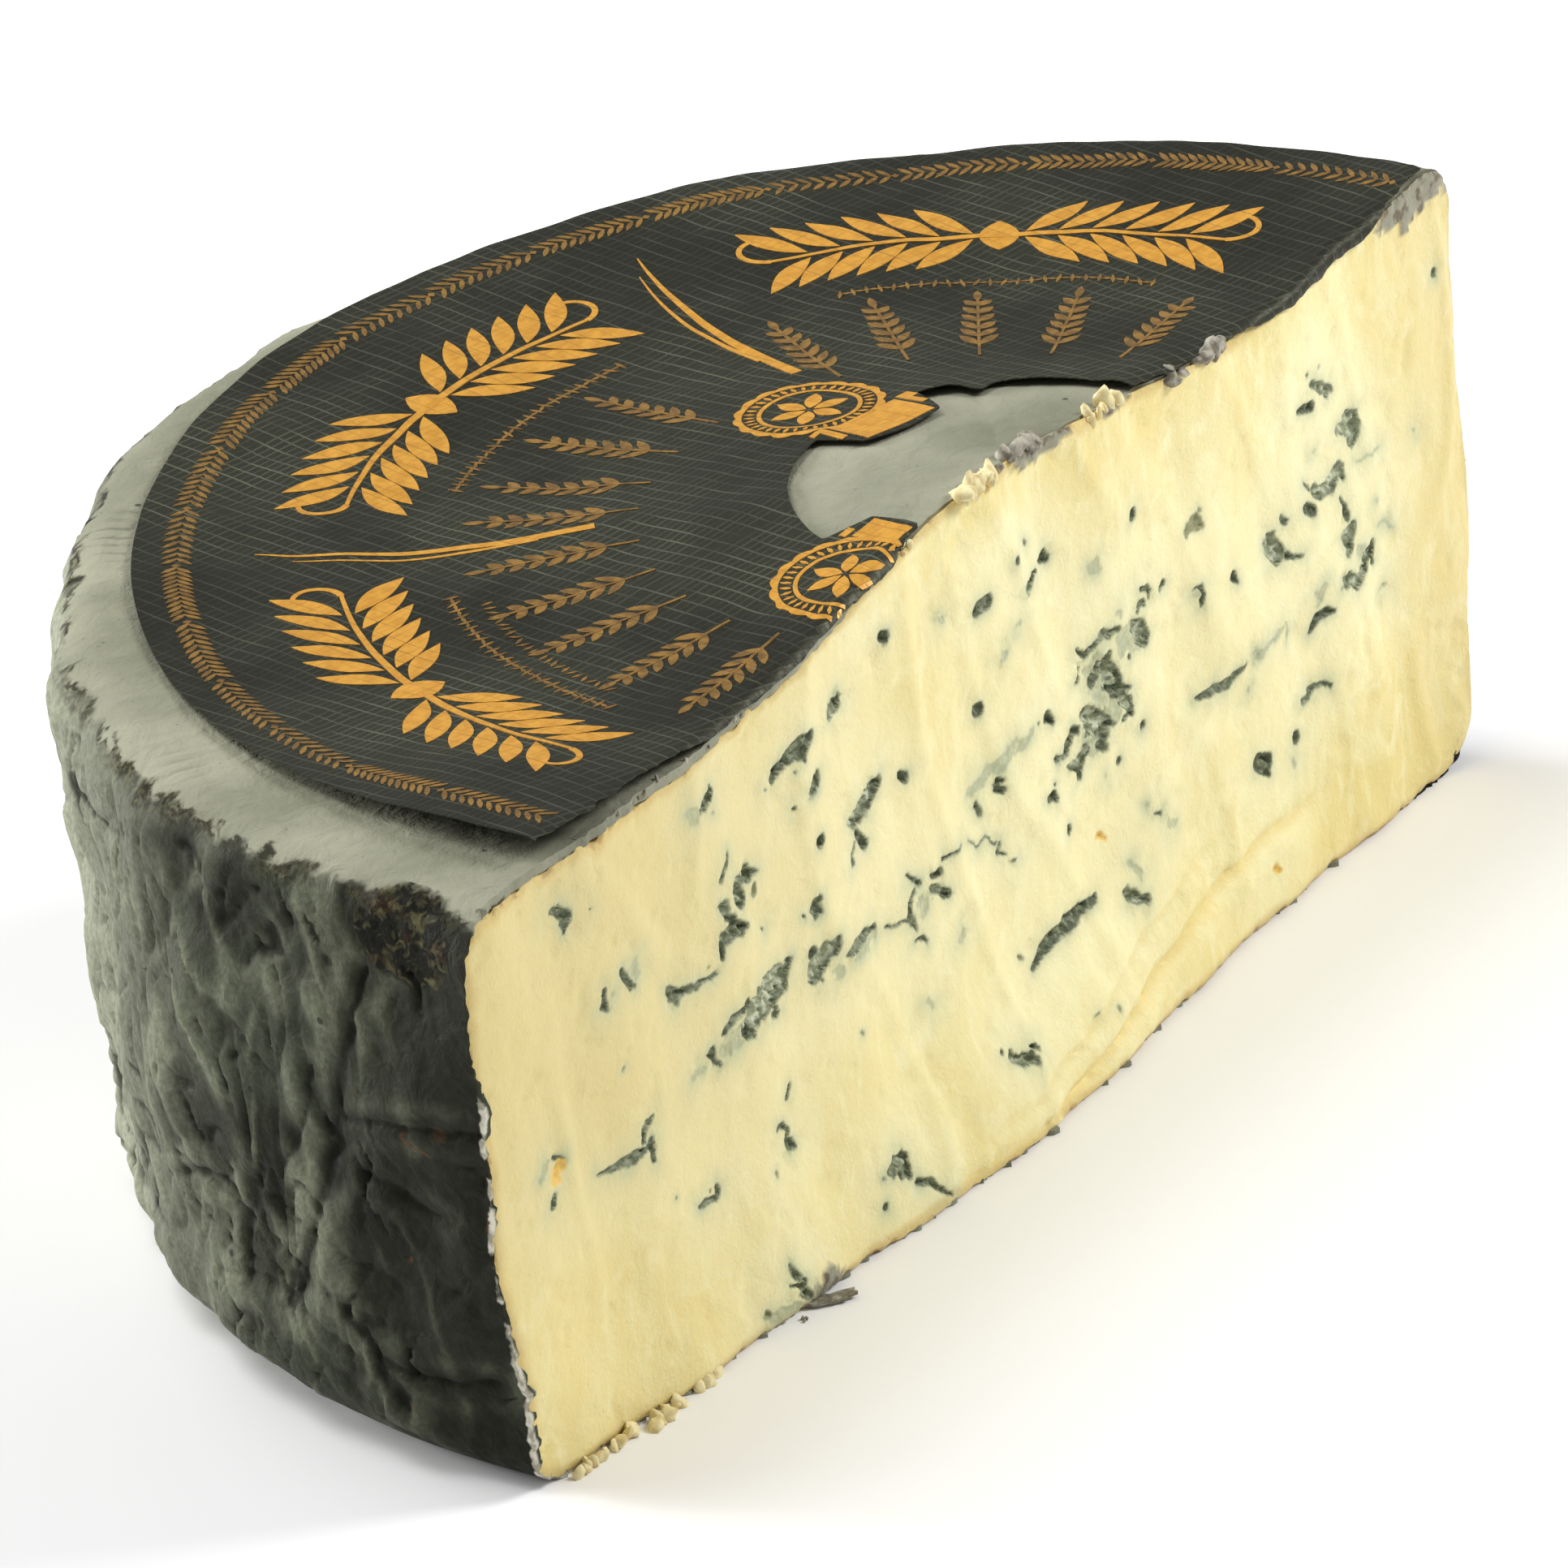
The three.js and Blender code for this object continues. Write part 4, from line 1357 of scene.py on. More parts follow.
@dataclass(frozen=True)
class CrumbFinish:
    """One mottled colour with another, for crumbs and mould tufts."""

    name: str
    light: Colour
    dark: Colour

    def build(self) -> Material:
        """Makes the material."""
        s = Shader(self.name)
        place = s.coordinates()
        return s.finished(
            Base_Color=s.mix(s.ramp(s.noise(place, 0.8, 3), 0.35, 0.65), self.dark, self.light),
            Roughness=0.6,
            Normal=s.bump(s.noise(place, 2.5, 3), 0.12, 0.6),
        )


def dress(piece: Piece, material: Material, node: str) -> None:
    """Gives a piece its material and its place on the frame.

    Args:
        piece: The piece.
        material: Its material.
        node: The node that the piece stands for.
    """
    piece.data.materials.clear()
    piece.data.materials.append(material)
    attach(piece, "root")
    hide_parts(node)
    log.info("%s: %d faces", piece.name, len(piece.data.polygons))


@dataclass
class Paste:
    """The cheese's inside: the finely modelled cut and the plain body behind it."""

    form: WheelForm
    skin: Skin
    face: CutFace
    rim_step: float = 0.5
    coarse_step: float = 0.66
    fine_part: int = 3
    loft_rows: int = 14
    body_inset: float = 2.5
    body_margin: float = 4.5
    body_turn: float = math.radians(86)
    body_narrow: float = 0.96
    low: Point = (-101, 0)
    high: Point = (101, 78)

    def rim(self) -> Array:
        """The paste's outline on the cut, anticlockwise as seen from the front, in the frame's x and z."""
        first = self.skin.length_at(self.form.cut_y + 0.4, False)
        last = self.skin.length_at(self.form.cut_y + 0.4, True)
        lengths = np.linspace(first, last, int((last - first) / self.rim_step))
        sides = []
        for left in (False, True):
            tear = MEDIUM.layered(lengths / 4, 3 + left, 0, 3)
            radius, height = self.skin.on_profile(lengths)
            crust = left * ease((height - 67) / 3) * ease((radius - 20) / 8)
            foot = 0.45 * (1 - ease(height / 1.5)) * np.abs(tear)
            inset = np.clip(0.2 + 0.12 * tear + foot + crust * (1 + 0.7 * tear), 0.06, 2.4)
            place = self.skin.point(self.skin.cut_angle(lengths, left), lengths, inset)
            sides.append(np.stack([place["x"] + self.form.middle_x, place["z"]], axis=1))
        right, left_side = sides
        loop = np.concatenate([right, left_side[::-1]])
        keep = np.linalg.norm(loop - np.roll(loop, 1, axis=0), axis=1) > self.rim_step * 0.3
        return loop[keep]

    def points(self) -> Array:
        """Points over the cut: a coarse grid, and a fine one where there is mould."""
        fine = self.coarse_step / self.fine_part
        every = scatter_grid(self.low, self.high, fine)
        growth = self.face.growth(every[:, 0], every[:, 1])
        columns = len(np.arange(self.low[0], self.high[0], fine))
        number = np.arange(len(every))
        coarse = (number % columns % self.fine_part == 0) & (number // columns % self.fine_part == 0)
        return every[coarse | (growth["near"] > -0.4)]

    def build(self) -> Piece:
        """Makes the paste's mesh."""
        form = self.form
        rim = self.rim()
        points = self.points()
        inner = points[inside_mask(rim, points, self.rim_step * 0.5)]
        flat, faces, rim_numbers = triangulate(rim, inner)
        x, z = flat.T
        masks = self.face.growth(x, z)
        edge = nearest(rim, flat)[1]
        depth = self.face.relief(x, z) * ease(edge / 1.6) + masks.pop("depth") * ease(edge / 0.8)
        rounding = 0.3 * (1 - ease(edge / 0.9)) ** 2
        flap = self.face.flap(x, z)
        torn = flap * (0.25 + 0.35 * FINE.layered(x / 1.4, z / 1.4, 3, 2))
        y = form.cut(x - form.middle_x, z) + depth + rounding - torn
        front = form.placed(x - form.middle_x, y, z)
        body, body_faces = self.body(front[rim_numbers], rim_numbers, len(front))
        del masks["near"]
        uneven = 1.6 + 1.2 * BROAD.at(x / 9, z / 9, 6)
        left = ease(-(x + 2) / 80) * (0.3 + 0.7 * ease((z - 8) / 32))
        masks["glow"] = self.face.glow(x, z)
        masks["flap"] = flap
        masks["shade"] = left + 0.6 * ease((x - 76) / 20)
        # fold: 1 along the creases, where the colour is painted with shade.
        masks["fold"] = self.face.creases(x, z)[0]
        masks["margin"] = 1 - ease(edge / np.maximum(uneven, 0.6))
        masks = {name: np.concatenate([mask, np.zeros(len(body))]) for name, mask in masks.items()}
        return make_piece("paste", np.concatenate([front, body]), np.concatenate([faces, body_faces]), masks)

    def body(self, loop: Array, numbers: Array, shift: int) -> tuple[Array, Array]:
        """The plain body behind the cut.

        Args:
            loop: The cut's outline in space.
            numbers: Its corners' numbers.
            shift: The first free corner number.

        Returns:
            The body's corners and triangles.
        """
        form = self.form
        x = loop[:, 0] - form.middle_x
        z = loop[:, 2]
        reach = form.foot_radius - self.body_inset
        rows = []
        wall = (self.skin.profile[:, 0] > 80) & (self.skin.profile[:, 1] < 68)
        limit = np.interp(z, self.skin.profile[wall, 1], self.skin.profile[wall, 0]) - self.body_margin
        for row in range(1, self.loft_rows + 1):
            turn = self.body_turn * max(row - 1, 0.3) / (self.loft_rows - 1)
            row_x = x * math.cos(turn) * self.body_narrow
            row_y = form.cut_y + reach * math.sin(turn)
            shrink = np.minimum(1, limit / np.maximum(np.hypot(row_x, row_y), 1))
            row_x = row_x * shrink
            row_y = row_y * shrink
            rows.append(form.placed(row_x, row_y, np.clip(z, 0.6, form.top(row_x, row_y) - 1.6)))
        count = len(loop)
        rings = [numbers] + [shift + row * count + np.arange(count) for row in range(self.loft_rows)]
        strips = []
        for near, far in zip(rings[:-1], rings[1:]):
            a, b, c, d = near, np.roll(near, -1), far, np.roll(far, -1)
            strips += [np.stack([a, c, b], 1), np.stack([b, c, d], 1)]
        middle = rows[-1].mean(axis=0)
        hub = shift + self.loft_rows * count
        last = rings[-1]
        strips.append(np.stack([last, np.full(count, hub), np.roll(last, -1)], 1))
        return np.concatenate(rows + [middle[None]]), np.concatenate(strips)


@dataclass
class Rind:
    """The grey rind as closed skins: the side with its rim, the top, and the floor's flecked edge."""

    form: WheelForm
    skin: Skin
    thickness: float = 1.15
    seam_radius: float = 78.0
    floor_radius: float = 82.0
    floor_height: float = 0.55
    overlap: float = 0.6
    step: float = 0.85
    near_step: float = 0.55
    near_from: float = 205.0
    hidden_step: float = 3.2
    corner_around: float = 305.0
    corner_height: float = 65.5
    lumps: tuple[Stop, ...] = ((5, 3.6, 0.5), (13, 1.6, 0.8), (34, 0.9, 0.5), (46.5, 1.5, 1))

    @property
    def around(self) -> float:
        """The length round the wall."""
        return math.pi * self.form.shoulder_radius

    def proud(self, length: Array, left: bool) -> Array:
        """How far the torn edge of the rind stands before the cut.

        Args:
            length: Length along the profile.
            left: Whether the side at -X is meant.

        Returns:
            The distance, below 0 where the edge stays behind the cut.
        """
        noise = MEDIUM.layered(length / 1.5, 7 + left, 2, 3)
        sway = MEDIUM.at(length / 7, 3 + left, 5)
        height = self.skin.on_profile(length)[1]
        wall = -0.6 + 0.2 * noise
        if left:
            torn = sum(reach * bell(height - middle, wide) for middle, wide, reach in self.lumps)
            wall = -0.15 + 0.16 * noise + 0.2 * sway + torn * (0.45 + 0.5 * noise)
        floor = -0.4 + 0.7 * np.minimum(noise, 0.5)
        share = ease((height - 1) / 3)
        return floor * (1 - share) + wall * share

    def side_place(self, around: Array, length: Array, depth: float) -> Masks:
        """A place on the side for the flat coordinates.

        Args:
            around: Length round the wall, from the cut at +X.
            length: Length along the profile.
            depth: How far under the surface.

        Returns:
            The place and its masks.
        """
        start = self.skin.cut_angle(length, False, self.proud(length, False))
        end = self.skin.cut_angle(length, True, self.proud(length, True))
        return self.skin.point(start + (end - start) * around / self.around, length, depth)

    def side_masks(self, around: Array, length: Array, top: Array) -> Masks:
        """Where the side is crusted, burnt and torn, and where it is painted paler with grazing light and
        bloom away from the cut.

        Args:
            around, length: The flat coordinates.
            top: How far the skin faces up.

        Returns:
            The masks crust, corner, far and torn.
        """
        height = self.skin.on_profile(length)[1]
        patches = ease(BROAD.at(around / 11, 3, 1) * 1.6 + 0.55)
        away = np.hypot((around - self.corner_around) / 10, (height - self.corner_height) / 7)
        from_cut = np.minimum(around, self.around - around)
        lump = sum(bell(height - middle, wide) for middle, wide, _ in self.lumps)
        rough = 0.6 * MEDIUM.layered(around / 1.2, height / 1.4, 6, 3)
        edge = 1 - ease((self.around - around - 0.2 + 0.6 * rough) / 0.5)
        thin = ease(MEDIUM.layered(height / 3, 9, 2, 2) * 1.6 + 0.5) * (height < 46)
        return {
            "crust": ease((height - 52) / 8) * patches,
            "corner": (1 - ease((away - 0.3) / 0.8)) * (top < 0.97),
            # far: painted grazing light together with paler bloom, on the wall far from the cut towards the
            # left.
            "far": ease((from_cut - 35) / 65) * (0.25 + 0.75 * ease((around - 160) / 45)),
            "torn": edge * np.clip(1.4 * lump + 0.1 + 0.75 * thin, 0, 1),
        }

    def build_side(self) -> Piece:
        """Makes the wall, the foot's edge and the band round the top."""
        low, high = self.floor_radius, self.skin.length_at(self.seam_radius, True)
        seen = self.form.foot_radius - self.form.foot_round + 1
        corners = np.array([[0, low], [self.around, low], [self.around, high], [0, high]])
        rim = rim_through(corners, self.near_step)
        near = scatter_grid((self.near_from, seen), (self.around, high), self.near_step, 5)
        far = scatter_grid((0, seen), (self.near_from, high), self.step, 11)
        floor = scatter_grid((0, low), (self.around, seen), self.step * 2, 6)
        coarse = scatter_grid((0, low), (self.around, high), self.hidden_step, 7)
        sheet = Sheet(rim, np.concatenate([floor, near, far]), coarse, self.near_step * 0.45)
        keep: Masks = {}

        def place(around: Array, length: Array, depth: float) -> Array:
            """The outer side at depth 0, whose masks are kept, or the inner side.

            Args:
                around, length: The flat coordinates.
                depth: How far under the surface.

            Returns:
                The places in the frame.
            """
            found = self.side_place(around, length, depth)
            keep.update(found if not depth else {})
            return self.form.placed(found["x"], found["y"], np.maximum(found["z"], 0.4 if depth else 0))

        points, faces, flat, count = sheet.build(place, 0, self.thickness)
        keep.update(self.side_masks(flat[:count, 0], flat[:count, 1], keep["top"]))
        masks = self.plain_masks(len(points))
        masks["top"][:] = 0.8
        for name, mask in masks.items():
            mask[:count] = keep[name]
        return make_piece("rind_side", points, faces, masks)

    def plain_masks(self, count: int) -> Masks:
        """Masks for a skin of count corners that is top all over."""
        names = (*self.skin.masks, "crust", "corner", "far", "torn")
        return {name: np.full(count, 1.0 if name == "top" else 0.0) for name in names}

    def top_place(self, x: Array, y: Array, depth: float) -> Array:
        """A place on the top or under it.

        Args:
            x, y: Across the cut from the wheel's middle, and into the cheese from the cut.
            depth: How far under the surface.

        Returns:
            The places in the frame.
        """
        tear = MEDIUM.layered(x / 2.4, 5, 3, 3)
        behind = ease((x + 26) / 10)
        edge = self.form.cut(x, self.form.top(x, self.form.cut_y))
        edge = edge + behind * (0.7 + 0.3 * tear) + (1 - behind) * (0.1 - 0.3 * tear)
        real_y = edge * np.exp(-y / 3) + self.form.cut_y * (1 - np.exp(-y / 3)) + y
        brushed = 0.05 * FINE.at(x / 9, real_y / 0.9, 1) + 0.12 * MEDIUM.at(x / 7, real_y / 7, 1)
        scratch, torn = self.top_marks(x, y, real_y)
        return self.form.placed(x, real_y, self.form.top(x, real_y) + brushed - scratch - torn - depth)

    def top_marks(self, x: Array, y: Array, real_y: Array) -> tuple[Array, Array]:
        """The scratch in the label's hole and the torn places on the cut's edge.

        Args:
            x, y: The flat coordinates.
            real_y: Into the cheese, from the wheel's middle.

        Returns:
            The depths of both.
        """
        line = (x - 10) * 0.64 - (real_y - 5) * 0.77
        scratch = 0.3 * bell(line, 0.5) * ease((x - 8) / 6) * (1 - ease((x - 26) / 5))
        torn = 0.9 * bell(x - 15.5, 3.2) * np.exp(-y / 1.6) + 0.8 * bell(x - 30, 2.2) * np.exp(-y / 1.2)
        return scratch, torn

    def build_top(self) -> Piece:
        """Makes the top, which shows in the label's hole and along the cut."""
        radius = self.seam_radius + self.overlap
        low = math.asin(self.form.cut_y / radius)
        half = radius * math.cos(low)
        arc = radius * polar(1, np.degrees(np.linspace(low, math.pi - low, 120))) - (0, self.form.cut_y)
        rim = np.concatenate([straight((-half, 0), (half, 0), 0.6)[1:-1], arc])
        near = scatter_grid((-half, 0), (half, 4), 0.75, 8)
        hole = scatter_grid((-22, 0), (38, 30), 0.8, 9)
        far = scatter_grid((-half, 0), (half, radius), self.hidden_step, 10)
        far = far[(far[:, 1] > 4.2) & ~((np.abs(far[:, 0] - 8) < 31) & (far[:, 1] < 31))]
        sheet = Sheet(rim, np.concatenate([near, hole[hole[:, 1] > 4.2], far]), far, 0.35)
        points, faces, flat, count = sheet.build(self.top_place, 0, self.thickness)
        masks = self.plain_masks(len(points))
        x, y = flat[:count].T
        scratch, torn = self.top_marks(x, y, points[:count, 1] - self.form.middle_y)
        # Darker in the scratch and the torn dips: painted shade together with the torn rind's darker colour.
        masks["crack"][:count] = 0.6 * torn + 0.96 * scratch
        return make_piece("rind_top", points, faces, masks)

    def floor_place(self, x: Array, y: Array, high: float) -> Array:
        """A place on the thin rind under the paste.

        Args:
            x, y: Across the cut from the wheel's middle, and into the cheese from the cut.
            high: The height over the ground.

        Returns:
            The places in the frame.
        """
        here = BROAD.at(x / 9, 2, 4) - 0.75 - 0.2 * ease(x / 25)
        fringe = np.clip(1.3 * MEDIUM.layered(x / 2.1, 4, 6, 3) + here, -1.2, 0.75)
        edge = self.form.cut(x, 0) - fringe
        real_y = edge + y * (1 - (edge - self.form.cut_y) / (self.floor_radius + self.overlap))
        return self.form.placed(x, real_y, high * (1 + 0.6 * FINE.at(x / 1.6, y / 1.6, 2)))

    def build_floor(self) -> Piece:
        """Makes the thin rind under the paste, whose ragged edge shows along the foot of the cut."""
        radius = self.floor_radius + self.overlap
        arc = radius * polar(1, np.linspace(0, 180, 90))[1:-1]
        rim = np.concatenate([straight((-radius, 0), (radius, 0), 0.45), arc])
        near = scatter_grid((-radius, 0), (radius, 3), 0.7, 21)
        far = scatter_grid((-radius, 3), (radius, radius), self.hidden_step, 22)
        sheet = Sheet(rim, np.concatenate([near, far]), far, 0.3)
        points, faces, _, _ = sheet.build(self.floor_place, self.floor_height, 0)
        return make_piece("rind_floor", points, faces, self.plain_masks(len(points)))


def straight(start: Point, end: Point, step: float) -> Array:
    """Points along a straight line, both ends included, about a step apart."""
    return np.linspace(start, end, max(2, int(math.dist(start, end) / step) + 1))


def rim_through(corners: Array, step: float) -> Array:
    """A closed outline through corners given anticlockwise, with points about a step apart."""
    ends = np.roll(corners, -1, axis=0)
    return np.concatenate([straight(tuple(a), tuple(b), step)[:-1] for a, b in zip(corners, ends)])


def respace(path: Array, step: float) -> Array:
    """Puts points at even steps along a path.

    Args:
        path: The path's points.
        step: About how far apart the new points are.

    Returns:
        The new points, both ends included.
    """
    lengths = np.concatenate([[0], np.cumsum(np.linalg.norm(np.diff(path, axis=0), axis=1))])
    at = np.linspace(0, lengths[-1], max(2, int(lengths[-1] / step) + 1))
    return np.stack([np.interp(at, lengths, path[:, axis]) for axis in (0, 1)], axis=1)


@dataclass
class Label:
    """The round foil label, cut through with the cheese, with a hole and two tongues."""

    form: WheelForm
    radius: float = 90.0
    centre: Point = (4.5, 4)
    thickness: float = 0.14
    gap: float = 0.3
    lift_place: Point = (-81, 10)
    lift_height: float = 2.4
    lift_spread: float = 17.0
    fold_start: float = 0.6
    fold_end: float = 1.2
    hole_radius: float = 24.7
    hole_centre: Point = (8.6, 1.6)
    nick_degrees: float = 43.0
    nick_depth: float = 2.4
    tab_width: float = 15.0
    tab_radius: float = 17.0
    tab_degrees: tuple[float, ...] = (76, 172)
    tab_round: float = 1.6
    edge_step: float = 0.6
    step: float = 0.75

    def overhang(self, x: Array) -> Array:
        """How far the label hangs over the cut's edge.

        Args:
            x: Across the cut, from the wheel's middle.

        Returns:
            The distance.
        """
        drape = 1.5 * ease((x - 48) / 16) * (1 - ease((x - 80) / 7))
        drape = drape + 0.8 * ease((x + 62) / 10) * (1 - ease((x + 16) / 3))
        return drape + 0.35 * MEDIUM.layered(x / 3, 2, 1, 2) - 0.1

    def place(self, x: Array, y: Array, above: Array | float = 0) -> Array:
        """Lays flat label coordinates on the cheese.

        Args:
            x: Across the cut, from the wheel's middle.
            y: Into the cheese from the cut's edge, below 0 where the label hangs over it.
            above: How far over the label's underside.

        Returns:
            The places in the frame.
        """
        cut_y = self.form.cut_y
        edge_y = self.form.cut(x, self.form.top(x, cut_y))
        over = np.maximum(self.fold_start - y, 0)
        turned = np.clip(over / self.fold_end, 0, 1)
        past = over > self.fold_end
        drop = np.where(past, over - self.fold_start, 0.5 * over * turned)
        lying_y = cut_y + y + (edge_y - cut_y) * np.exp(-np.maximum(y - self.fold_start, 0) / 4)
        folded_y = edge_y + self.fold_start - np.where(past, 0.95, over - 0.21 * turned * over)
        real_y = np.where(y > self.fold_start, lying_y, folded_y)
        z = self.form.top(x, np.maximum(real_y, cut_y)) + self.gap + self.wrinkles(x, y) - drop
        loose = np.hypot(x - self.lift_place[0], real_y - self.lift_place[1])
        z = z + self.lift_height * bell(loose, self.lift_spread)
        return self.form.placed(x, real_y - above * turned, z + above * (1 - turned))

    def wrinkles(self, x: Array, y: Array) -> Array:
        """The label's soft waves, creases round the hole and crumpled cut edge.

        Args:
            x, y: Flat label coordinates.

        Returns:
            How far they stand up.
        """
        soft = 0.34 * BROAD.at(x / 16, y / 16, 3) + 0.15 * MEDIUM.at(x / 5.5, y / 5.5, 3)
        dx, dy = x - self.hole_centre[0], y + self.form.cut_y - self.hole_centre[1]
        far = np.hypot(dx, dy)
        angle = np.arctan2(dy, dx)
        off = far - self.hole_radius
        near_hole = ease((off + 8) / 8) * np.exp(-np.maximum(off, 0) / 20)
        rays = 0.42 * np.maximum(0, np.sin(angle * 9 + 0.8 * np.sin(angle * 4))) ** 3 * near_hole
        crumple = np.abs(MEDIUM.at(x / 2.4, y / 3.4, 9)) * np.exp(-np.maximum(y, 0) / 4.5)
        return soft + 0.3 + rays + 0.34 * crumple * (bell(x + 22, 11) + 0.25)

    def hole_edge(self) -> Array:
        """The hole's edge above the cut, from its right end round to its left end."""
        cx, cy = self.hole_centre
        base = self.form.cut_y
        tabs = [math.radians(degrees) for degrees in self.tab_degrees]
        points = []
        for turn in np.radians(np.arange(0, 180, 0.7)):
            nick = math.exp(-(((turn - math.radians(self.nick_degrees)) / 0.06) ** 2))
            reach = self.hole_radius - self.nick_depth * nick
            for tab in tabs:
                side = abs(math.sin(turn - tab)) * self.hole_radius
                if side < self.tab_width / 2 and math.cos(turn - tab) > 0:
                    reach = self.tab_radius + self.tab_round * (side / (self.tab_width / 2)) ** 2
            points.append((cx + reach * math.cos(turn), cy + reach * math.sin(turn) - base))
        edge = np.array([point for point in points if point[1] > 0.3])
        return respace(edge, 0.7)

    def rim(self) -> Array:
        """The half label's outline, anticlockwise, in flat label coordinates."""
        cx, cy = self.centre
        low = math.degrees(math.asin((self.form.cut_y - cy) / self.radius))
        turn = np.linspace(low, 180 - low, int(math.pi * self.radius / 0.8))
        arc = polar(self.radius, turn) + (cx, cy - self.form.cut_y)
        hole = self.hole_edge()
        left = straight((arc[-1, 0], 0), (hole[-1, 0], 0), self.edge_step)[1:-1]
        right = straight((hole[0, 0], 0), (arc[0, 0], 0), self.edge_step)[1:-1]
        left[:, 1] = -self.overhang(left[:, 0])
        right[:, 1] = -self.overhang(right[:, 0])
        return np.concatenate([arc, left, hole[::-1], right])

    def build(self) -> Piece:
        """Makes the label's mesh."""
        points = scatter_grid((-86, -5), (95, 92), self.step, 12)
        corners, faces, _, _ = Sheet(self.rim(), points, points, 0.3).build(self.place, self.thickness, 0)
        return make_piece("label_foil", corners, faces)


KINDS: dict[type, str] = {float: "Float", int: "Int", tuple: "Vector"}
Flat = tuple[Array, list]


class Recipe(NodeBuilder):
    """A geometry node tree under construction, for shapes that repeat."""

    def __init__(self, name: str, material: Material, values: dict[str, object]) -> None:
        """Starts the tree with one shape and named values in, and one shape out.

        Args:
            name: The tree's name.
            material: What the copies are made of.
            values: The inputs with their first values.
        """
        super().__init__(bpy.data.node_groups.new(name, "GeometryNodeTree"))
        self.material = material
        self.inputs: dict[str, tuple[str, type]] = {}
        sockets = self.tree.interface
        for side in ("INPUT", "OUTPUT"):
            sockets.new_socket("Geometry", in_out=side, socket_type="NodeSocketGeometry")
        for label, value in values.items():
            socket = sockets.new_socket(label, in_out="INPUT", socket_type="NodeSocket" + KINDS[type(value)])
            socket.default_value = value
            self.inputs[label] = (socket.identifier, type(value))
        self.given = self.add("NodeGroupInput", {}).outputs

    def random(self, kind: str, inputs: dict[str | int, object]) -> Node:
        """Random values of a kind."""
        return self.add("FunctionNodeRandomValue", inputs, data_type=kind)

    def joined(self, x: object, y: object, z: object) -> Socket:
        """A vector of three values."""
        return self.add("ShaderNodeCombineXYZ", {"X": x, "Y": y, "Z": z}).outputs[0]

    def close(self, place: Socket, turn: Socket, size: Socket) -> None:
        """Puts Count copies of the shape in their places and ends the tree.

        Args:
            place: Each copy's place.
            turn: Its rotation.
            size: Its scale, the same along each axis.
        """
        points = self.add("GeometryNodePoints", {"Count": self.given["Count"], "Position": place}).outputs[0]
        scale = self.joined(size, size, size)
        inputs = {"Points": points, "Instance": self.given["Geometry"], "Rotation": turn, "Scale": scale}
        copies = self.add("GeometryNodeInstanceOnPoints", inputs).outputs[0]
        real = self.add("GeometryNodeRealizeInstances", {"Geometry": copies}).outputs[0]
        dressed = self.add("GeometryNodeSetMaterial", {"Geometry": real, "Material": self.material})
        self.add("NodeGroupOutput", {"Geometry": dressed.outputs[0]})

    def bake(self, shape: Flat, values: dict[str, object]) -> Flat:
        """Runs the tree on a shape.

        Args:
            shape: The corners and faces that are repeated.
            values: The inputs by name.

        Returns:
            The corners and faces of all copies.
        """
        mesh = bpy.data.meshes.new("shape")
        mesh.from_pydata(np.asarray(shape[0]).tolist(), [], list(shape[1]))
        holder = bpy.data.objects.new("holder", mesh)
        bpy.context.scene.collection.objects.link(holder)
        modifier = holder.modifiers.new("repeat", "NODES")
        modifier.node_group = self.tree
        for name, value in values.items():
            identifier, kind = self.inputs[name]
            modifier[identifier] = kind(value)
        seen = holder.evaluated_get(bpy.context.evaluated_depsgraph_get())
        result = bpy.data.meshes.new_from_object(seen)
        corners = np.empty(len(result.vertices) * 3)
        result.vertices.foreach_get("co", corners)
        faces = [tuple(face.vertices) for face in result.polygons]
        holder.modifiers.remove(modifier)
        bpy.data.objects.remove(holder)
        bpy.data.meshes.remove(result)
        return corners.reshape(-1, 3), faces


def arc_recipe(material: Material) -> Recipe:
    """Makes the tree that repeats a stroke along an arc, with each copy turned with the arc.

    Args:
        material: What the copies are made of.

    Returns:
        The tree.
    """
    arc = {"Count": 12, "Radius": 80.0, "Start": 0.0, "Sweep": math.pi}
    recipe = Recipe("strokes_on_arc", material, {**arc, "Turn": 0.0, "Jitter": 0.0, "Seed": 1})
    given = recipe.given
    index = recipe.add("GeometryNodeInputIndex", {}).outputs[0]
    last = recipe.math("MAXIMUM", recipe.math("SUBTRACT", given["Count"], 1.0), 1.0)
    along = recipe.times(given["Sweep"], recipe.math("DIVIDE", index, last))
    angle = recipe.math("ADD", given["Start"], along)
    x = recipe.times(given["Radius"], recipe.math("COSINE", angle))
    y = recipe.times(given["Radius"], recipe.math("SINE", angle))
    random = recipe.random("FLOAT", {2: -1.0, 3: 1.0, "Seed": given["Seed"]}).outputs[1]
    wobble = recipe.times(given["Jitter"], random)
    turned = recipe.math("ADD", recipe.math("ADD", angle, given["Turn"]), wobble)
    recipe.close(recipe.joined(x, y, 0.0), recipe.joined(0.0, 0.0, turned), 1.0)
    return recipe


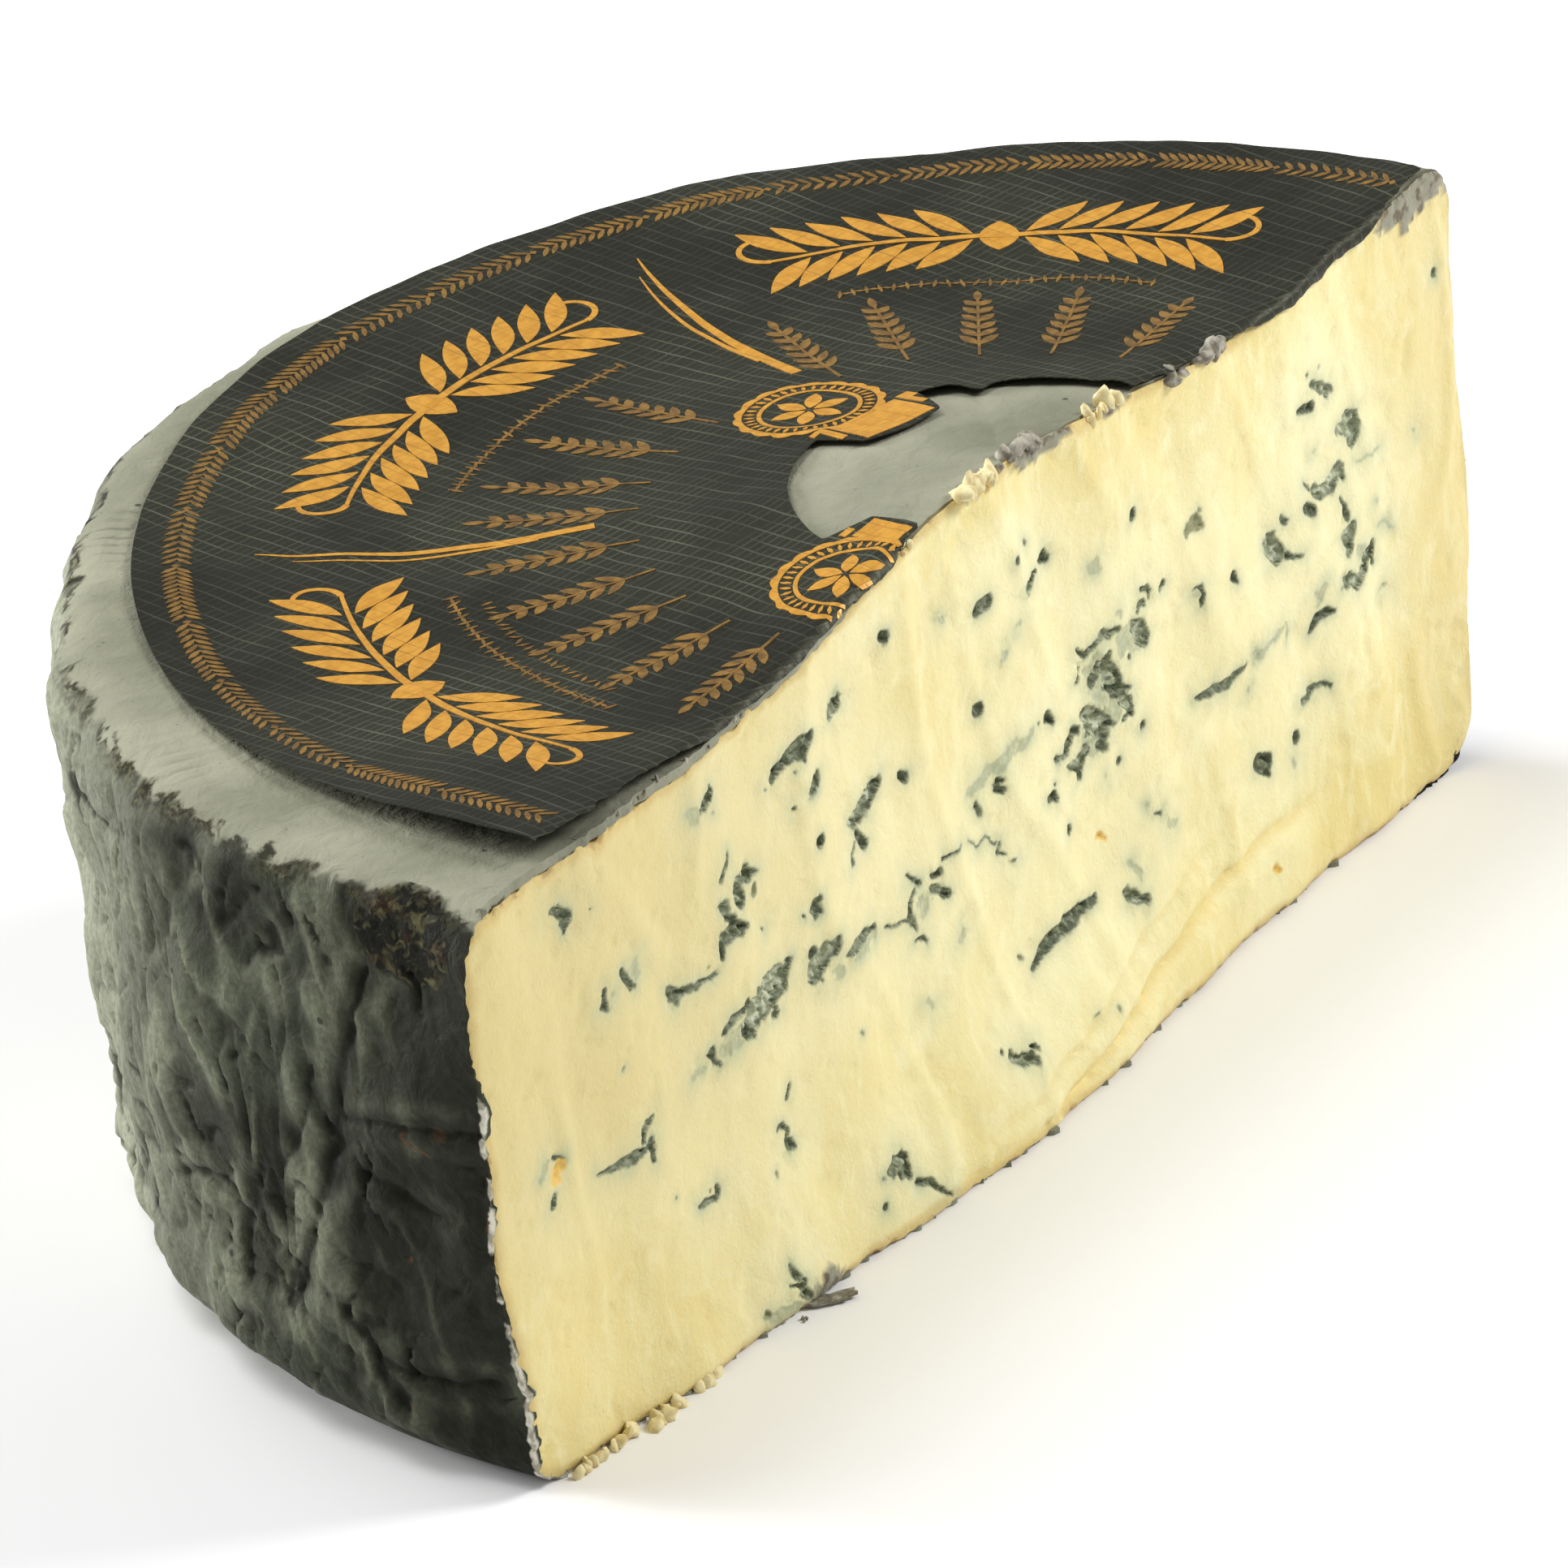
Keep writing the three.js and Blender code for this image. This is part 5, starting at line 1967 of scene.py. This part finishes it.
def scatter_recipe(material: Material) -> Recipe:
    """Makes the tree that scatters copies of a lump in a box, turned and sized at random.

    Args:
        material: What the copies are made of.

    Returns:
        The tree.
    """
    none = (0.0, 0.0, 0.0)
    values = {"Count": 12, "Middle": none, "Spread": none, "Least": 0.5, "Most": 1.0, "Seed": 1}
    recipe = Recipe("scattered_lumps", material, values)
    given = recipe.given
    index = recipe.add("GeometryNodeInputIndex", {}).outputs[0]
    box = {0: (-1.0, -1.0, -1.0), 1: (1.0, 1.0, 1.0), "ID": index, "Seed": given["Seed"]}
    offset = recipe.random("FLOAT_VECTOR", box).outputs[0]
    parts = {0: offset, 1: given["Spread"], 2: given["Middle"]}
    place = recipe.add("ShaderNodeVectorMath", parts, operation="MULTIPLY_ADD").outputs[0]
    turns = {0: none, 1: (FULL_TURN,) * 3, "Seed": recipe.math("ADD", given["Seed"], 1.0)}
    turn = recipe.random("FLOAT_VECTOR", turns).outputs[0]
    sizes = {2: given["Least"], 3: given["Most"], "Seed": recipe.math("ADD", given["Seed"], 2.0)}
    recipe.close(place, turn, recipe.random("FLOAT", sizes).outputs[1])
    return recipe


def quads(rows: int, columns: int, wide: int, flip: bool = False) -> list[tuple[int, ...]]:
    """The faces of a grid of corners.

    Args:
        rows, columns: How many faces there are each way.
        wide: How many corners a row has. As many columns close round.
        flip: Whether the faces look the other way.

    Returns:
        The faces.
    """
    faces = []
    for row, column in np.ndindex(rows, columns):
        a, b = row * wide + column, row * wide + (column + 1) % wide
        faces.append((a, b, b + wide, a + wide) if flip else (a, a + wide, b + wide, b))
    return faces


def leaf(length: float, width: float, steps: int = 8, bend: float = 0.0, point: float = 0.8) -> Flat:
    """A flat pointed leaf that starts at the origin and grows along +X.

    Args:
        length, width: Its length and its greatest width.
        steps: How many rows of faces.
        bend: How far its tip bends to +Y.
        point: Below 1 for blunt ends, above 1 for sharp ends.

    Returns:
        Its corners and faces.
    """
    t = np.linspace(0, 1, steps + 1)
    half = width / 2 * np.maximum(np.sin(math.pi * t), 0.02) ** point
    sides = [np.stack([length * t, bend * t**2 + side * half, t * 0], axis=1) for side in (-1, 0, 1)]
    return np.concatenate(sides), quads(2, steps, steps + 1, True)


def ring_band(centre: Point, inner: float, outer: float, lobes: int = 0, depth: float = 0.0) -> Flat:
    """A flat ring, its outer edge scalloped.

    Args:
        centre: Its middle.
        inner, outer: Its radii.
        lobes: How many scallops.
        depth: How deep they are.

    Returns:
        Its corners and faces.
    """
    count = 96
    rows = max(1, round((outer - inner) / 0.9))
    turn = np.arange(count) * FULL_TURN / count
    scallop = depth * (1 - np.abs(np.sin(lobes * turn / 2)))
    corners = []
    for part in np.arange(rows + 1) / rows:
        reach = inner + (outer - inner - scallop) * part
        x, y = centre[0] + reach * np.cos(turn), centre[1] + reach * np.sin(turn)
        corners.append(np.stack([x, y, turn * 0], 1))
    return np.concatenate(corners), quads(rows, count, count)


def panel(start: Point, along: float, length: float, width: float, step: float = 0.8) -> Flat:
    """A flat strip of small squares.

    Args:
        start: The middle of its first end.
        along: The direction of its length, in radians.
        length, width: Its size.
        step: About how large its faces are.

    Returns:
        Its corners and faces.
    """
    rows, columns = max(1, round(length / step)), max(1, round(width / step))
    across = np.linspace(-width / 2, width / 2, columns + 1)
    u, v = (part.ravel() for part in np.meshgrid(np.linspace(0, length, rows + 1), across, indexing="ij"))
    x = start[0] + u * math.cos(along) - v * math.sin(along)
    y = start[1] + u * math.sin(along) + v * math.cos(along)
    return np.stack([x, y, x * 0], axis=1), quads(rows, columns, columns + 1)


def joined(parts: list[Flat]) -> Flat:
    """Puts several meshes into one.

    Args:
        parts: Their corners and faces.

    Returns:
        The corners and faces of all.
    """
    corners, faces, shift = [], [], 0
    for part_corners, part_faces in parts:
        corners.append(part_corners)
        faces += [tuple(number + shift for number in face) for face in part_faces]
        shift += len(part_corners)
    return np.concatenate(corners), faces


def moved(shape: Flat, x: float = 0.0, y: float = 0.0, turn: float = 0.0) -> Flat:
    """Turns a flat mesh about the origin and moves it.

    Args:
        shape: Its corners and faces.
        x, y: How far it moves.
        turn: How far it turns, in radians.

    Returns:
        The moved corners and the faces.
    """
    corners, faces = shape
    c, s = math.cos(turn), math.sin(turn)
    out = corners.copy()
    out[:, 0] = corners[:, 0] * c - corners[:, 1] * s + x
    out[:, 1] = corners[:, 0] * s + corners[:, 1] * c + y
    return out, faces


def ribbon(path: Array, widths: Array, lift: float = 0) -> Flat:
    """A flat band of changing width along a path.

    Args:
        path: The path's points.
        widths: The band's width at each of them.
        lift: How far it lies above the shapes that it crosses.

    Returns:
        Its corners and faces.
    """
    along = np.gradient(path, axis=0)
    along /= np.linalg.norm(along, axis=1)[:, None]
    side = np.stack([-along[:, 1], along[:, 0]], axis=1) * widths[:, None] / 2
    flat = np.concatenate([path - side, path + side])
    count = len(path)
    return np.column_stack([flat, np.full(len(flat), lift)]), quads(1, count - 1, count, True)


@dataclass
class Ornament:
    """The gold print: a braided ring, leaf sprays, ears that fan out, and two scalloped medallions."""

    label: Label
    strokes: Recipe
    raised: float = 0.07
    sunk: float = 0.02
    ring_radius: float = 85.2
    ring_groups: int = 19
    ring_gap: float = 1.6
    spray_radius: float = 68.5
    spray_middles: tuple[float, ...] = (30, 91, 152)
    spray_half: float = 21.0
    curl_radius: float = 3.2
    tick_radius: float = 57.6
    small_radius: float = 54.4
    ray_degrees: tuple[float, ...] = (60.5, 121.5)
    ear_radius: float = 36.5
    ear_degrees: tuple[float, ...] = (8, 20, 32, 44, 56, 82, 94, 106, 117, 129, 141, 153, 165, 176)
    medallion_radius: float = 8.3
    medallions: tuple[Point, ...] = ((15.2, 32.1), (-20, 5.5))
    tongue_bands: tuple[Point, ...] = ((-7.3, -5.5), (-4.9, 4.9), (5.5, 7.3))

    def lay(self, name: str, parts: list[Flat]) -> Piece:
        """Lays flat shapes on the label and makes them one thin closed piece.

        Args:
            name: The piece's name.
            parts: The shapes, round the label's middle.

        Returns:
            The piece.
        """
        label = self.label
        corners, faces = joined(parts)
        flat = corners[:, :2] + np.array([label.centre[0], label.centre[1] - label.form.cut_y])
        held = inside_mask(label.rim(), flat, 0.12)
        faces = [face for face in faces if all(held[number] for number in face)]
        used = np.unique(np.concatenate([np.array(face) for face in faces]))
        renumber = np.full(len(flat), -1)
        renumber[used] = np.arange(len(used))
        faces = [tuple(int(renumber[number]) for number in face) for face in faces]
        flat = flat[used]
        lift = corners[used, 2]
        over = label.place(flat[:, 0], flat[:, 1], label.thickness + self.raised + lift)
        under = label.place(flat[:, 0], flat[:, 1], label.thickness - self.sunk)
        count = len(flat)
        edges = {(a, b) for face in faces for a, b in zip(face, face[1:] + face[:1])}
        walls = [(b, a, a + count, b + count) for a, b in edges if (b, a) not in edges]
        backs = [tuple(number + count for number in reversed(face)) for face in faces]
        return make_piece(name, np.concatenate([over, under]), faces + backs + sorted(walls))

    def row(self, shape: Flat, radius: float, start: float, sweep: float, count: int, **more: object) -> Flat:
        """Repeats a shape along an arc round the label's middle.

        Args:
            shape: The shape.
            radius: The arc's radius.
            start, sweep: Where it starts and how far it goes, in degrees.
            count: How many copies.
            **more: Turn in degrees, Jitter and Seed.

        Returns:
            The copies.
        """
        turns = {"Start": start, "Sweep": sweep, "Turn": more.pop("Turn", 0)}
        values = {name: math.radians(degrees) for name, degrees in turns.items()}
        return self.strokes.bake(shape, {"Radius": radius, "Count": count, **values, **more})

    def build_ring(self) -> Piece:
        """Makes the braided ring near the edge and the small rows of ticks under the sprays."""
        slant = moved(leaf(2.3, 0.62, 3, 0, 0.45), -1.15)
        stop = moved(leaf(1, 0.9, 2), -0.5)
        parts = []
        pitch = 180 / self.ring_groups
        for group in range(self.ring_groups):
            start = group * pitch + self.ring_gap / 2
            sweep = pitch - self.ring_gap
            count = 9 + group * 3 % 4
            for radius, turn in ((self.ring_radius + 0.75, 42), (self.ring_radius - 0.75, -42)):
                parts.append(self.row(slant, radius, start, sweep, count, Turn=turn, Jitter=0.05, Seed=group))
            parts.append(self.row(stop, self.ring_radius, start - self.ring_gap / 2, 1, 1))
        tick = moved(leaf(1.9, 0.5, 2, 0, 0.4), -0.95)
        cross = moved(leaf(1.2, 0.45, 2, 0, 0.4), -0.6)
        for middle in self.spray_middles:
            parts.append(self.row(tick, self.tick_radius, middle - 17, 34, 24, Jitter=0.5, Seed=5))
            start = middle - 16.3
            parts.append(self.row(cross, self.tick_radius, start, 32.5, 23, Turn=90, Jitter=0.3, Seed=6))
        small = moved(leaf(1.4, 0.42, 2, 0, 0.4), -0.7)
        start = self.spray_middles[-1] - 14
        parts.append(self.row(small, self.small_radius, start, 28, 26, Jitter=0.6, Seed=7))
        return self.lay("gold_ring", parts)

    def build_sprays(self) -> Piece:
        """Makes the three leaf sprays and the long rays between them."""
        parts = []
        blade = leaf(9, 2.5, 8, 1, 0.9)
        mirror = (blade[0] * np.array([1, -1, 1]), [face[::-1] for face in blade[1]])
        half = self.spray_half
        for middle in self.spray_middles:
            for side in (-1, 1):
                start = middle + side * 2.4
                sweep = side * (half - 6)
                outward, inward = (mirror, blade) if side > 0 else (blade, mirror)
                parts.append(self.row(outward, self.spray_radius + 0.7, start, sweep, 6, Turn=side * 50))
                parts.append(self.row(inward, self.spray_radius - 0.7, start, sweep, 6, Turn=side * 130))
                turns = np.linspace(0, side * half, 30)
                thin = 0.95 - 0.5 * np.linspace(0, 1, 30)
                parts.append(ribbon(polar(self.spray_radius, middle + turns), thin, 0.03))
                parts.append(self.curl(middle + side * half, side))
            parts.append(self.row(moved(leaf(6.4, 4.4, 8), -3.2), self.spray_radius, middle, 0, 1))
        for degrees in self.ray_degrees:
            for shift, width, inner, outer in ((0, 1.25, 41, 77), (1.5, 0.5, 47, 73)):
                t = np.linspace(0, 1, 40)
                path = polar(inner + (outer - inner) * t, degrees + shift + 1.6 * np.sin(math.pi * t))
                parts.append(ribbon(path, width * (1 - t) ** 0.7 + 0.12))
        return self.lay("gold_sprays", parts)

    def curl(self, degrees: float, side: int) -> Flat:
        """A thin spiral at a spray's end.

        Args:
            degrees: Where the stem ends.
            side: 1 where it runs on to larger angles, or -1.

        Returns:
            The spiral.
        """
        t = np.linspace(0, 1, 40)
        turn = math.radians(degrees)
        out = np.array([math.cos(turn), math.sin(turn)])
        along = side * np.array([-math.sin(turn), math.cos(turn)])
        reach = self.curl_radius * (1 - 0.7 * t)
        bend = 1.7 * math.pi * t
        centre = polar(self.spray_radius, degrees) + out * self.curl_radius
        path = centre - np.outer(reach * np.cos(bend), out) + np.outer(reach * np.sin(bend), along)
        return ribbon(path, 0.75 - 0.35 * t)

    def build_ears(self) -> Piece:
        """Makes the small ears that fan out round the hole."""
        length = 16.5
        stem = np.stack([np.linspace(0, length, 14), np.zeros(14)], axis=1)
        parts = [ribbon(stem, np.full(14, 0.34), 0.03)]
        for number in range(6):
            at = 3.4 + number * 2.2
            size = 3.4 - 0.22 * number
            for side in (-1, 1):
                blade = leaf(size, 1.15, 4, side * 0.25)
                parts.append(moved(blade, at, side * 0.06, side * math.radians(33)))
        parts.append(moved(leaf(2.8, 1, 4), length - 0.4))
        ear = joined(parts)
        rows = []
        for degrees in self.ear_degrees:
            rows.append(self.row(ear, self.ear_radius, degrees, 0, 1, Jitter=0.05, Seed=int(degrees)))
        return self.lay("gold_ears", rows)

    def build_medallions(self) -> Piece:
        """Makes the two scalloped medallions with the tongues that join them to the hole."""
        label = self.label
        outer = self.medallion_radius
        hole = np.array(label.hole_centre) - label.centre
        tick = moved(leaf(1.2, 0.5, 2, 0, 0.3), -0.6)
        ticks = {"Radius": outer - 1.8, "Start": 0, "Sweep": FULL_TURN * 37 / 38, "Count": 38, "Jitter": 0.3}
        petal = moved(leaf(3.9, 1.9, 6), 0.5)
        petals = {"Radius": 0.01, "Start": 0.4, "Sweep": FULL_TURN * 5 / 6, "Count": 6}
        parts = []
        for place, degrees in zip(self.medallions, label.tab_degrees):
            centre = np.array(place) - label.centre
            parts.append(ring_band(centre, outer - 1, outer, 18, 0.45))
            parts.append(ring_band(centre, outer - 3.1, outer - 2.6))
            parts.append(moved(self.strokes.bake(tick, ticks), *centre))
            parts.append(moved(self.strokes.bake(petal, petals), *centre))
            along = math.radians(degrees)
            forward, aside = polar(1, degrees), polar(1, degrees + 90)
            first = label.tab_radius + 1
            reach = math.dist(place, label.hole_centre) - outer - 0.3
            for low, high in self.tongue_bands:
                deeper = outer - math.sqrt(outer**2 - min(abs(low), abs(high)) ** 2)
                start = hole + first * forward + (low + high) / 2 * aside
                parts.append(panel(start, along, reach + deeper - first, high - low))
        return self.lay("gold_medallions", parts)


@dataclass(frozen=True)
class Heap:
    """Crumbs that lie together: on the cut's top edge, or on the ground where y is given too."""

    x: float
    y: float | None
    spread: tuple[float, float, float]
    count: int
    sizes: Point
    seed: int


@dataclass
class Crumbs:
    """The torn crumbs on the cut's edges, and those that lie at its foot with a flake of rind."""

    form: WheelForm
    scatter: Recipe
    paste_heaps: tuple[Heap, ...] = (
        Heap(3, None, (5, 0.6, 0.1), 10, (0.9, 3), 3),
        Heap(26.5, None, (3.2, 0.5, 0.1), 6, (1, 2.6), 5),
        Heap(-12, None, (3, 0.3, 0.4), 7, (0.4, 1), 8),
        Heap(-85, -47.2, (7, 0.3, 0), 13, (1, 2.3), 7),
        Heap(-69, -48.4, (7.5, 0.3, 0), 14, (0.9, 2.2), 9),
    )
    rind_heaps: tuple[Heap, ...] = (
        Heap(10.5, None, (4.5, 0.8, 0.1), 9, (1, 3), 11),
        Heap(45, None, (5, 0.7, 0.1), 11, (0.9, 2.7), 12),
        Heap(-60, None, (14, 0.3, 0.3), 14, (0.3, 0.7), 13),
        Heap(-48.7, -50, (0.7, 0.3, 0), 3, (0.4, 0.8), 14),
    )
    lump_shape: tuple[float, float, float] = (1.35, 0.9, 0.6)
    flake_place: Point = (-44.6, -50.2)
    flake_turn: float = math.radians(-40)
    flake_size: Point = (3.2, 1.05)
    flake_thickness: float = 0.35

    def lump(self, rough: float, seed: float) -> Flat:
        """A small uneven lump about 1 mm across.

        Args:
            rough: How uneven it is.
            seed: Where its noise is read.

        Returns:
            Its corners and faces.
        """
        mesh = bmesh.new()
        bmesh.ops.create_icosphere(mesh, subdivisions=2, radius=0.5)
        corners = np.array([tuple(corner.co) for corner in mesh.verts])
        faces = [tuple(corner.index for corner in face.verts) for face in mesh.faces]
        mesh.free()
        x, y, z = corners.T * 2.1
        swell = 1 + rough * FINE.layered(x + seed, y, z, 2)
        return corners * swell[:, None] * np.array(self.lump_shape), faces

    def heaped(self, heap: Heap) -> Flat:
        """Makes one heap.

        Args:
            heap: The heap.

        Returns:
            Its corners in the frame and its faces.
        """
        least, most = heap.sizes
        if heap.y is None:
            cut_y = self.form.cut(heap.x, self.form.rim_height)
            middle = self.form.placed(heap.x, cut_y + 0.3, self.form.top(heap.x, cut_y) - 0.1)
        else:
            middle = (heap.x, heap.y, least * 0.4)
        values = {"Count": heap.count, "Middle": middle, "Spread": heap.spread, "Least": least, "Most": most}
        lump = self.lump(0.3 if heap.y is None else 0.35, heap.seed)
        corners, faces = self.scatter.bake(lump, {**values, "Seed": heap.seed})
        corners[:, 2] = np.maximum(corners[:, 2], 0)
        return corners, faces

    def build_paste(self) -> Piece:
        """Makes the cream crumbs."""
        return make_piece("crumbs_paste", *joined([self.heaped(heap) for heap in self.paste_heaps]))

    def build_rind(self) -> Piece:
        """Makes the grey crumbs of torn rind."""
        return make_piece("crumbs_rind", *joined([self.heaped(heap) for heap in self.rind_heaps]))

    def flake_at(self, x: Array, y: Array, above: float) -> Array:
        """The flake's surface over the ground.

        Args:
            x, y: Place on the flake.
            above: How far over its underside.

        Returns:
            The places in the frame.
        """
        z = 0.15 + 0.05 * np.abs(x) + 0.3 * np.abs(MEDIUM.at(x / 2, y / 1.5, 3)) + above
        c, s = math.cos(self.flake_turn), math.sin(self.flake_turn)
        across, into = self.flake_place
        return np.stack([across + x * c - y * s, into + x * s + y * c, z], axis=1)

    def build_flake(self) -> Piece:
        """Makes the thin flake of rind at the foot of the cut."""
        turn = np.linspace(0, FULL_TURN, 60, endpoint=False)
        ragged = 1 + 0.28 * MEDIUM.layered(np.cos(turn) * 2.2, np.sin(turn) * 2.2, 5, 3)
        long, wide = self.flake_size
        rim = np.stack([long * ragged * np.cos(turn), wide * ragged * np.sin(turn)], axis=1)
        grid = scatter_grid((-6, -3), (6, 3), 0.35, 4)
        corners, faces, _, _ = Sheet(rim, grid, grid, 0.15).build(self.flake_at, self.flake_thickness, 0)
        return make_piece("rind_flake", corners, faces)


@dataclass
class Studio:
    """The pale floor, the soft lights and the camera."""

    camera_place: tuple[float, float, float] = (-1860.4, -1268.2, 1121.8)
    camera_azimuth: float = -56.139
    camera_elevation: float = 25.887
    camera_roll: float = -4.502
    focal_pixels: float = 28856.0
    picture_width: float = 1932.0
    sensor: float = 36.0
    floor_colour: Colour = Colour(250, 250, 250)
    floor_reach: float = 40.0
    sky_power: float = 0.26

    def build_camera(self) -> None:
        """Makes the camera at the photograph's place, angle and roll."""
        data = bpy.data.cameras.new("camera")
        data.sensor_width = self.sensor
        data.lens = self.focal_pixels / self.picture_width * self.sensor
        data.clip_start = 0.1
        data.clip_end = 60
        camera = bpy.data.objects.new("camera", data)
        a, e, r = (math.radians(v) for v in (self.camera_azimuth, self.camera_elevation, self.camera_roll))
        back = Vector((math.sin(a) * math.cos(e), -math.cos(a) * math.cos(e), math.sin(e)))
        level = Vector((math.cos(a), math.sin(a), 0))
        upright = back.cross(level)
        right = level * math.cos(r) + upright * math.sin(r)
        up = upright * math.cos(r) - level * math.sin(r)
        turn = Matrix((right, up, back)).transposed().to_4x4()
        camera.matrix_world = Matrix.Translation(Vector(self.camera_place) * MM) @ turn
        bpy.context.scene.collection.objects.link(camera)
        bpy.context.scene.camera = camera

    def build_floor(self) -> None:
        """Makes the floor."""
        mesh = bpy.data.meshes.new("floor")
        far = self.floor_reach
        mesh.from_pydata([(-far, -far, 0), (far, -far, 0), (far, far, 0), (-far, far, 0)], [], [(0, 1, 2, 3)])
        floor = bpy.data.objects.new("floor", mesh)
        mesh.materials.append(Shader("floor").finished(Base_Color=self.floor_colour, Roughness=0.9))
        bpy.context.scene.collection.objects.link(floor)

    def light(self, name: str, place: tuple[float, float, float], size: float, power: float) -> None:
        """Adds one soft square light that shines at the cheese.

        Args:
            name: The light's name.
            place: Where it stands, in metres.
            size: Its side, in metres.
            power: Its power, in watts.
        """
        data = bpy.data.lights.new(name, "AREA")
        data.size = size
        data.energy = power
        lamp = bpy.data.objects.new(name, data)
        lamp.location = place
        lamp.rotation_euler = (-Vector(place)).to_track_quat("-Z", "Y").to_euler()
        lamp.visible_camera = False
        bpy.context.scene.collection.objects.link(lamp)

    def build_lights(self) -> None:
        """Makes the lights and the sky."""
        self.light("key", (0.85, -0.9, 1), 0.6, 16.5)
        self.light("top", (-0.3, 0.9, 2), 1.4, 30)
        self.light("side", (-0.5, 2.3, 0.6), 0.8, 52)
        world = bpy.data.worlds.new("sky")
        world.use_nodes = True
        sky = world.node_tree.nodes["Background"].inputs
        sky["Color"].default_value = (1, 1, 1, 1)
        sky["Strength"].default_value = self.sky_power
        bpy.context.scene.world = world
        bpy.context.scene.view_settings.view_transform = "Standard"

    def build(self) -> None:
        """Makes all of it."""
        self.build_camera()
        self.build_floor()
        self.build_lights()


def main() -> None:
    """Builds every piece in order."""
    logging.basicConfig(level=logging.INFO, format="%(name)s: %(message)s")
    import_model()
    form = WheelForm.from_frame("cheese")
    log.info("wheel's middle: %.2f, %.2f", form.middle_x, form.middle_y)
    skin = Skin(form)
    grain = grain_group()
    threads = thread_group()

    paste_finish = PasteFinish(grain).build()
    dress(Paste(form, skin, CutFace(form)).build(), paste_finish, "cheese")

    rind_finish = RindFinish(grain).build()
    rind = Rind(form, skin)
    for piece in (rind.build_side(), rind.build_top(), rind.build_floor()):
        dress(piece, rind_finish, "cheese")

    cream_crumb = CrumbFinish("crumb_cream", Colour(242, 230, 180), Colour(222, 203, 146)).build()
    grey_crumb = CrumbFinish("crumb_grey", Colour(178, 172, 156), Colour(112, 106, 90)).build()
    crumbs = Crumbs(form, scatter_recipe(cream_crumb))
    dress(crumbs.build_paste(), cream_crumb, "cheese")
    for piece in (crumbs.build_rind(), crumbs.build_flake()):
        dress(piece, grey_crumb, "cheese")

    label = Label(form)
    foil = LabelFinish(threads, grain)
    dress(label.build(), foil.build(), "label")
    bright = GoldFinish(foil).build()
    fine = GoldFinish(foil, "gold_fine", Colour(158, 120, 58), Colour(122, 92, 48), 0.3).build()
    ornament = Ornament(label, arc_recipe(fine))
    for piece in (ornament.build_sprays(), ornament.build_medallions()):
        dress(piece, bright, "label")
    for piece in (ornament.build_ring(), ornament.build_ears()):
        dress(piece, fine, "label")

    Studio().build()


if __name__ == "__main__":
    main()
